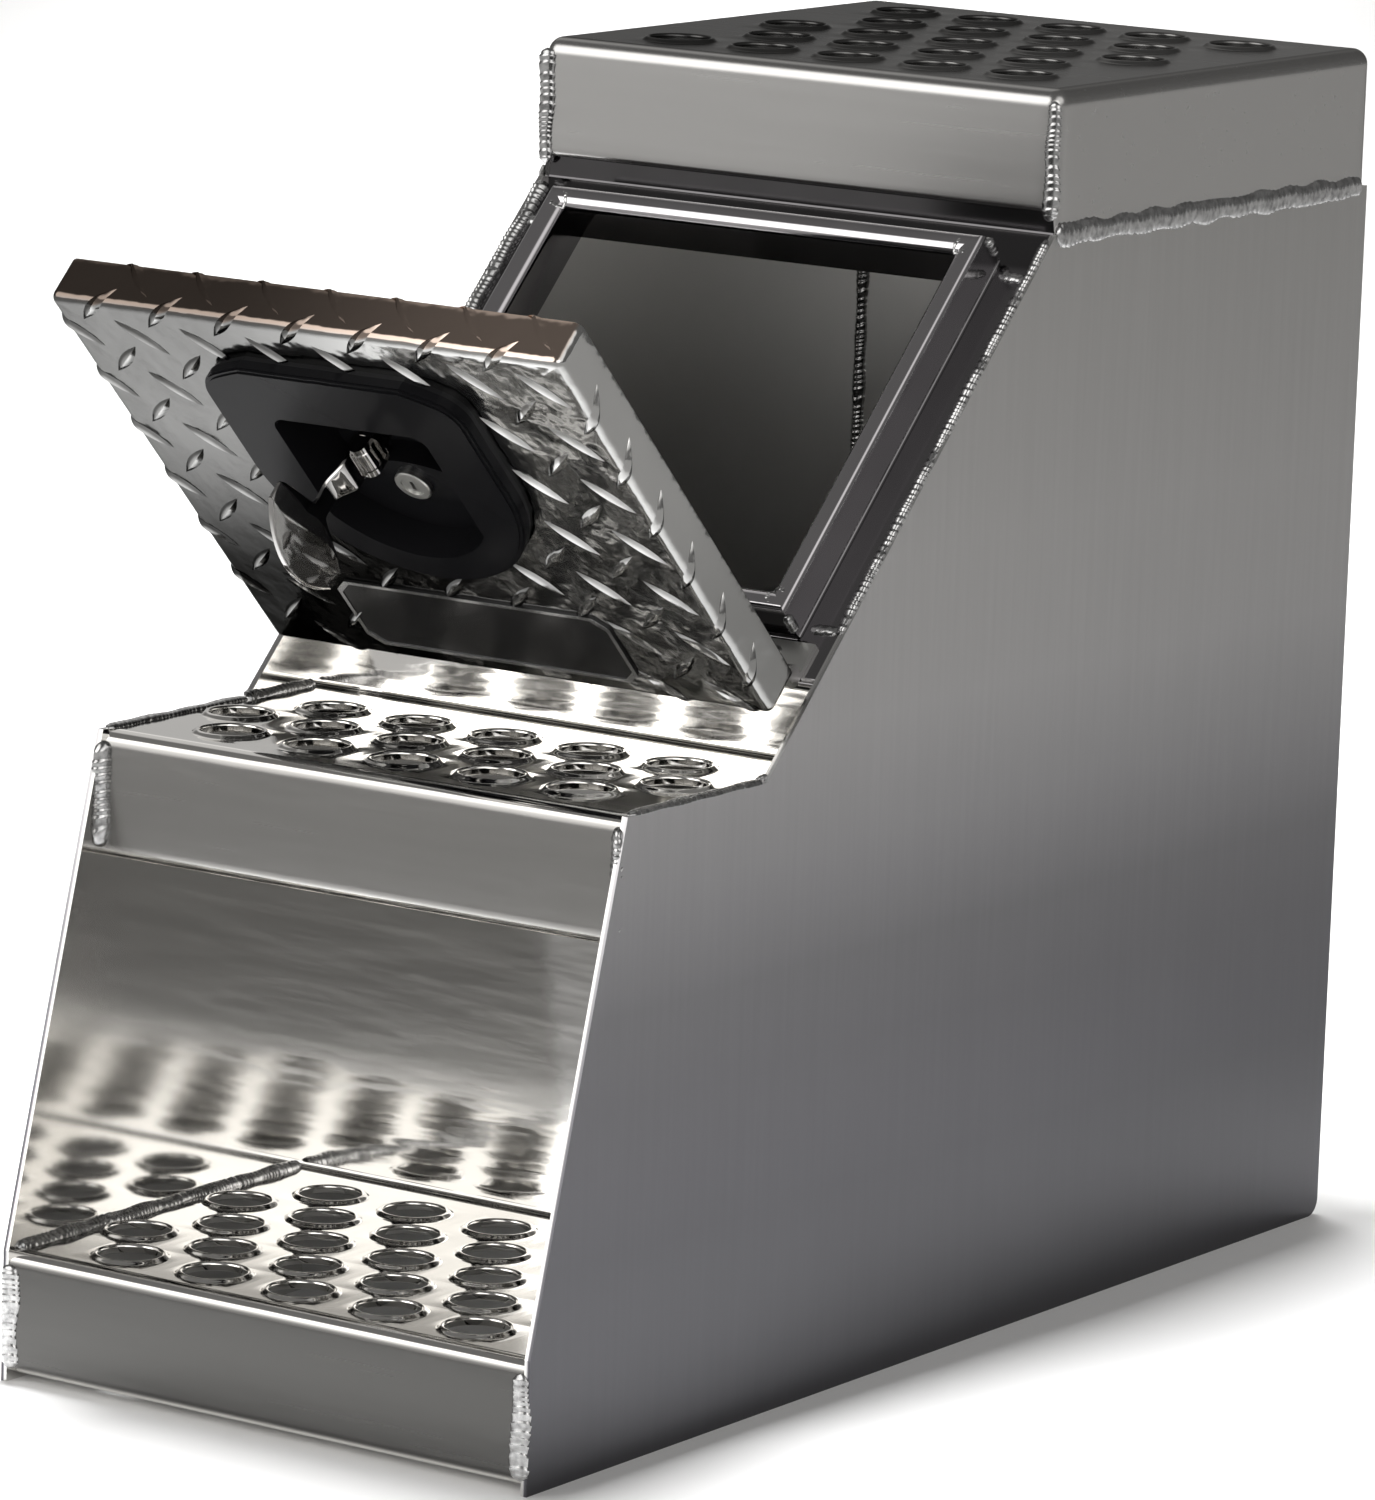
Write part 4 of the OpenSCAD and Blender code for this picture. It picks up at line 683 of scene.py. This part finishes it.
# The door's skin is a pan folded from lugged tread plate: rolled with crowned lens-shaped lugs
# in a diagonal pattern, cut for the latch and folded on all four sides, so lugs run over the folds.
plate = Paint("plate", Metallic=1.0, Roughness=0.13, Specular_Tint=(0.4, 0.4, 0.4, 1))
x, y, z = plate.axes()
raised = 0.0311 - ((y + 0.1796) + (z - 0.3048)) * float(R2)
# Painted shade and highlight: the face is lighter on the right and darker low down, as a painted reflection, and the
# lug crests, 0.7 to 1.7 mm up, are painted lighter as highlights.
tone = 0.185 + 0.41 * x.step(-0.06, 0.12) - 0.16 * (0.46 - z).step(0.0, 0.09)
tone = tone + 0.26 * raised.step(0.0007, 0.0017)
off = (z - y - 0.4844) * float(R2)
# Painted reflection: the top flange gets a copper tint.
flange_reflection_tint = plate.ramp(off.step(0.2660, 0.2676), (0.0, (1.0, 1.0, 0.985, 1)), (1.0, (1.0, 0.80, 0.68, 1)))
dents = plate.bump(plate.noise(30.0, 3.0, 0.5), 0.003, 0.8)
plate.set(Base_Color=plate.gray(tone, flange_reflection_tint), Normal=dents)
DOOR_W, DOOR_H, DOOR_DEPTH, DOOR_T, FOLD_R = 289.0, 259.3, 24.0, 2.5, 4.5


def recess_reach(direction):
    """Distance from (2.5, 157) along a unit direction to the latch's cut-out: a circle of radius
    54.8 below, cut by sides at +-46.3, and a rectangle up to 45.8 above."""
    dx, dv = np.abs(direction[:, 0]) + 1e-9, direction[:, 1]
    below = np.minimum(54.8, 46.3 / dx)
    above = np.minimum(46.3 / dx, 45.8 / np.maximum(dv, 1e-9))
    return np.where(dv < 0, below, above)


def door_pan():
    """A closed ring surface f(a, q): a runs round the door, q from the cut-out over the face,
    round the fold, down the flange and back inside. B(a) is the flat face's edge and N(a) its
    normal; on the fold the point is B + N * r * sin t at depth r * (1 - cos t)."""
    half = np.array([DOOR_W / 2 - FOLD_R, DOOR_H / 2 - FOLD_R])
    edge_n, corner_n = 60, 9
    runs, normals = [], []
    for k in range(4):
        turn = np.array([[0, -1], [1, 0]]) if k else np.eye(2)
        face = np.linalg.matrix_power(np.array([[0, -1], [1, 0]]), k)
        size = half if k % 2 == 0 else half[::-1]
        t = np.linspace(-1, 1, edge_n)[:, None]
        local = np.concatenate([np.full((edge_n, 1), size[0]), t * size[1]], axis=1)
        bend = np.linspace(0, np.pi / 2, corner_n)[1:-1]
        runs += [local @ face.T, np.repeat(np.array([[size[0], size[1]]]), len(bend), 0) @ face.T]
        normals += [np.repeat(np.array([[1.0, 0.0]]), edge_n, 0) @ face.T,
                    np.stack([np.cos(bend), np.sin(bend)], axis=1) @ face.T]
    edge, normal = np.concatenate(runs) + (0, DOOR_H / 2), np.concatenate(normals)
    centre = np.array([2.5, 157.0])
    ray = edge - centre
    far = np.linalg.norm(ray, axis=1)
    ray /= far[:, None]
    near = recess_reach(ray)
    rings = []
    for reach in np.linspace(0, 1, 8):
        rings.append((centre + ray * (near + (far - near) * reach)[:, None], 0.0))
    for t in np.linspace(0, np.pi / 2, 8)[1:]:
        rings.append((edge + normal * FOLD_R * np.sin(t), -FOLD_R * (1 - np.cos(t))))
    for depth in (0.25, 0.5, 0.75, 0.97):
        rings.append((edge + normal * FOLD_R, -FOLD_R - (DOOR_DEPTH - FOLD_R) * depth))
    inner = FOLD_R - DOOR_T
    rings.append((edge + normal * (FOLD_R - 0.3), -DOOR_DEPTH))
    rings.append((edge + normal * (inner + 0.3), -DOOR_DEPTH))
    for depth in (0.97, 0.5, 0.1):
        rings.append((edge + normal * inner, -FOLD_R - (DOOR_DEPTH - FOLD_R) * depth))
    for t in np.linspace(np.pi / 2, 0, 6):
        rings.append((edge + normal * inner * np.sin(t), -DOOR_T - inner * (1 - np.cos(t))))
    for reach in np.linspace(1, 0, 8)[1:]:
        rings.append((centre + ray * (near + (far - near) * reach)[:, None], -DOOR_T))
    grid = np.stack([on_door(flat[:, 0], flat[:, 1], depth) for flat, depth in rings])
    n_ring, n_round = grid.shape[:2]
    index = np.arange(n_ring * n_round).reshape(n_ring, n_round)
    over, ahead = np.roll(index, -1, axis=0), np.roll(index, -1, axis=1)
    both = np.roll(over, -1, axis=1)
    quads = np.stack([index, ahead, both, over], axis=-1).reshape(-1, 4)
    return metres(grid).reshape(-1, 3), [quads]


def bent(along, high, half):
    """Where a flat distance along and a height over the plate come to lie once the plate is
    folded at +-half: on the fold the point turns with angle e / r at radius r + height."""
    e = np.clip(np.abs(along) - (half - FOLD_R), 0, None)
    turn = np.clip(e / FOLD_R, 0, np.pi / 2)
    past = np.clip(e - FOLD_R * np.pi / 2, 0, None)
    out = np.minimum(np.abs(along), half - FOLD_R) + (FOLD_R + high) * np.sin(turn)
    down = -FOLD_R + (FOLD_R + high) * np.cos(turn) - past
    return np.sign(along) * out, down


def lugs():
    """Lugs over the developed plate. A lug is a tube along u whose section is half a lens:
    width 3.1 * (1 - u^2)^1.1 and height 1.9 * (1 - u^2)^0.8 at a crest, laid at -45 or 45 degrees."""
    pitch, reach = 37.8, 15.2
    u = np.linspace(-1, 1, 17)[:, None]
    a = np.linspace(0, 2 * np.pi, 12, endpoint=False)[None, :]
    body = np.clip(1 - u ** 2, 0.003, 1)
    across = 3.1 * body ** 1.1 * np.cos(a)
    high = np.where(np.sin(a) > 0, 1.9 * body ** 0.8 * (1 - np.abs(np.cos(a)) ** 1.4) ** 1.1, 0.5 * np.sin(a))
    along = reach * u + 0 * a
    groups = []
    for kind, slant in enumerate((-np.pi / 4, np.pi / 4)):
        i, j = np.meshgrid(np.arange(-6, 6), np.arange(-2, 9))
        cx = 12.8 + kind * pitch / 2 + i.ravel() * pitch
        cv = 10.4 + kind * pitch / 2 + j.ravel() * pitch
        wide, tall = DOOR_W / 2 + 18.5, DOOR_H / 2 + 18.5
        dx, dv = np.abs(cx), np.abs(cv - DOOR_H / 2)
        keep = (dx < wide) & (dv < tall) & ~((dx > DOOR_W / 2 - 12) & (dv > DOOR_H / 2 - 12))
        inside = lambda low, high: (cx > low[0]) & (cx < high[0]) & (cv > low[1]) & (cv < high[1])
        keep &= ~inside((-73, 6), (71, 66)) | (np.abs(cv - 36.5) > 24.5 + 3) | (np.abs(cx + 1.5) > 78.5 + 3)
        keep &= (np.hypot(cx - 2.5, np.minimum(cv - 161, 0)) > 76) | (cv > 236)
        cx, cv = cx[keep, None, None], cv[keep, None, None]
        x = cx + along * np.cos(slant) - across * np.sin(slant)
        v = cv + along * np.sin(slant) + across * np.cos(slant) - DOOR_H / 2
        limit = DOOR_W / 2 - FOLD_R + FOLD_R * np.pi / 2 + DOOR_DEPTH - FOLD_R
        x = np.clip(x, -limit, limit)
        limit = DOOR_H / 2 - FOLD_R + FOLD_R * np.pi / 2 + DOOR_DEPTH - FOLD_R
        v = np.clip(v, -limit, limit)
        px, down_x = bent(x, high, DOOR_W / 2)
        pv, down_v = bent(v, high, DOOR_H / 2)
        side = np.abs(x) > DOOR_W / 2 - FOLD_R
        down = np.where(side, down_x, down_v)
        groups.append(tube(metres(on_door(px, pv + DOOR_H / 2, down))))
    return groups


build("door_plate", [door_pan()] + lugs(), "door", plate, ["door_skin"])

# The folding handle is one chromed forging: an eye on the pin, a strap with a joggle in it and
# a bowed grip as wide as four fingers.
chrome = Paint("chrome", Base_Color=(0.50, 0.49, 0.48, 1), Metallic=1.0, Roughness=0.04)
LATCH_X, SPINDLE_V, PIVOT_P = 2.5, 178.0, 8.29
p = np.concatenate([np.linspace(1.5, 33, 22), np.linspace(33.5, 52, 22), 52.4 + 14.08 * np.sin(np.linspace(0, np.pi / 2, 18))])
t = np.clip((p - 10) / 14, 0, 1)
strap = 9.0 - 3.4 * (3 * t ** 2 - 2 * t ** 3)
grip = np.sqrt(np.clip(48.0 ** 2 - (p - 18.5) ** 2, 0.05, None))
spread = np.clip((p - 32.5) / 11.0, 0, 1)
reach = np.minimum(np.where(p < 33, strap, 5.6 + 28.4 * (3 * spread ** 2 - 2 * spread ** 3) ** 0.8), grip)
joggle = np.clip((p - 11) / 12, 0, 1)
centre_x = -2.4 - 6.0 * (3 * joggle ** 2 - 2 * joggle ** 3)
turn = np.linspace(0, 2 * np.pi, 28, endpoint=False)[None, :]
round_off = lambda wave: np.sign(wave) * np.abs(wave) ** 0.45
across = reach[:, None] * round_off(np.cos(turn))
thick = 1.5 * (0.8 + 0.35 * np.abs(np.cos(turn)) ** 6) * round_off(np.sin(turn))
blade = on_door(LATCH_X + centre_x[:, None] + thick, SPINDLE_V + across, PIVOT_P + p[:, None] + 0 * across)
ring = np.linspace(0, 2 * np.pi, 32, endpoint=False)
eye = np.stack([on_door(LATCH_X + r * np.cos(ring), SPINDLE_V + v, PIVOT_P + r * np.sin(ring))
                for v, r in ((-6.0, 4.0), (-5.2, 4.8), (5.2, 4.8), (6.0, 4.0))])
build("handle", [tube(metres(blade)[None]), tube(metres(eye)[None])], "handle", chrome, ["latch_handle"])
wear(["latch_spindle", "handle_pin"], "chrome_metal", chrome)

# The latch dish is moulded, satin black; its gasket and the door's seal are black rubber.
satin = Paint("satin_black", Base_Color=(0.008, 0.008, 0.009, 1), Roughness=0.20, Specular_IOR_Level=0.04)
rubber = Paint("rubber", Base_Color=(0.008, 0.008, 0.009, 1), Roughness=0.40, Specular_IOR_Level=0.2)
wear(["latch_dish"], "dish_black", satin)
wear(["latch_gasket"], "gasket_rubber", rubber)
wear(["door_seal"], "seal_rubber", rubber)

# The name plate is a stamped black plate with a thin bare border, raised 0.4 mm over the rest.
plaque = Paint("plaque", Roughness=0.22)
x, y, z = plaque.axes()
high = 0.0311 - ((y + 0.1796) + (z - 0.3048)) * float(R2)
border = high.step(0.00125, 0.00135)
plaque.set(Base_Color=plaque.gray(0.012 + 0.6 * border), Metallic=border)
wear(["name_plate"], "plate_black", plaque)

# Hinge, rivets, screws and the parts of the lock are plated steel.
zinc = Paint("zinc", Base_Color=(0.6, 0.6, 0.58, 1), Metallic=1.0, Roughness=0.3)
wear(["hinge_frame_leaf", "hinge_door_leaf"], "hinge_metal", zinc)
wear(["hinge_frame_rivets", "hinge_door_rivets"], "rivet_metal", zinc)
wear(["hinge_pin"], "steel_pin", zinc)
wear(["lock_housing", "lock_cylinder", "lock_tongue", "lock_screw"], "lock_steel", zinc)
wear(["latch_screws", "cam_arm", "cam_washer", "cam_nut"], "zinc_steel", zinc)
wear(["door_corner_beads"], "weld", weld)
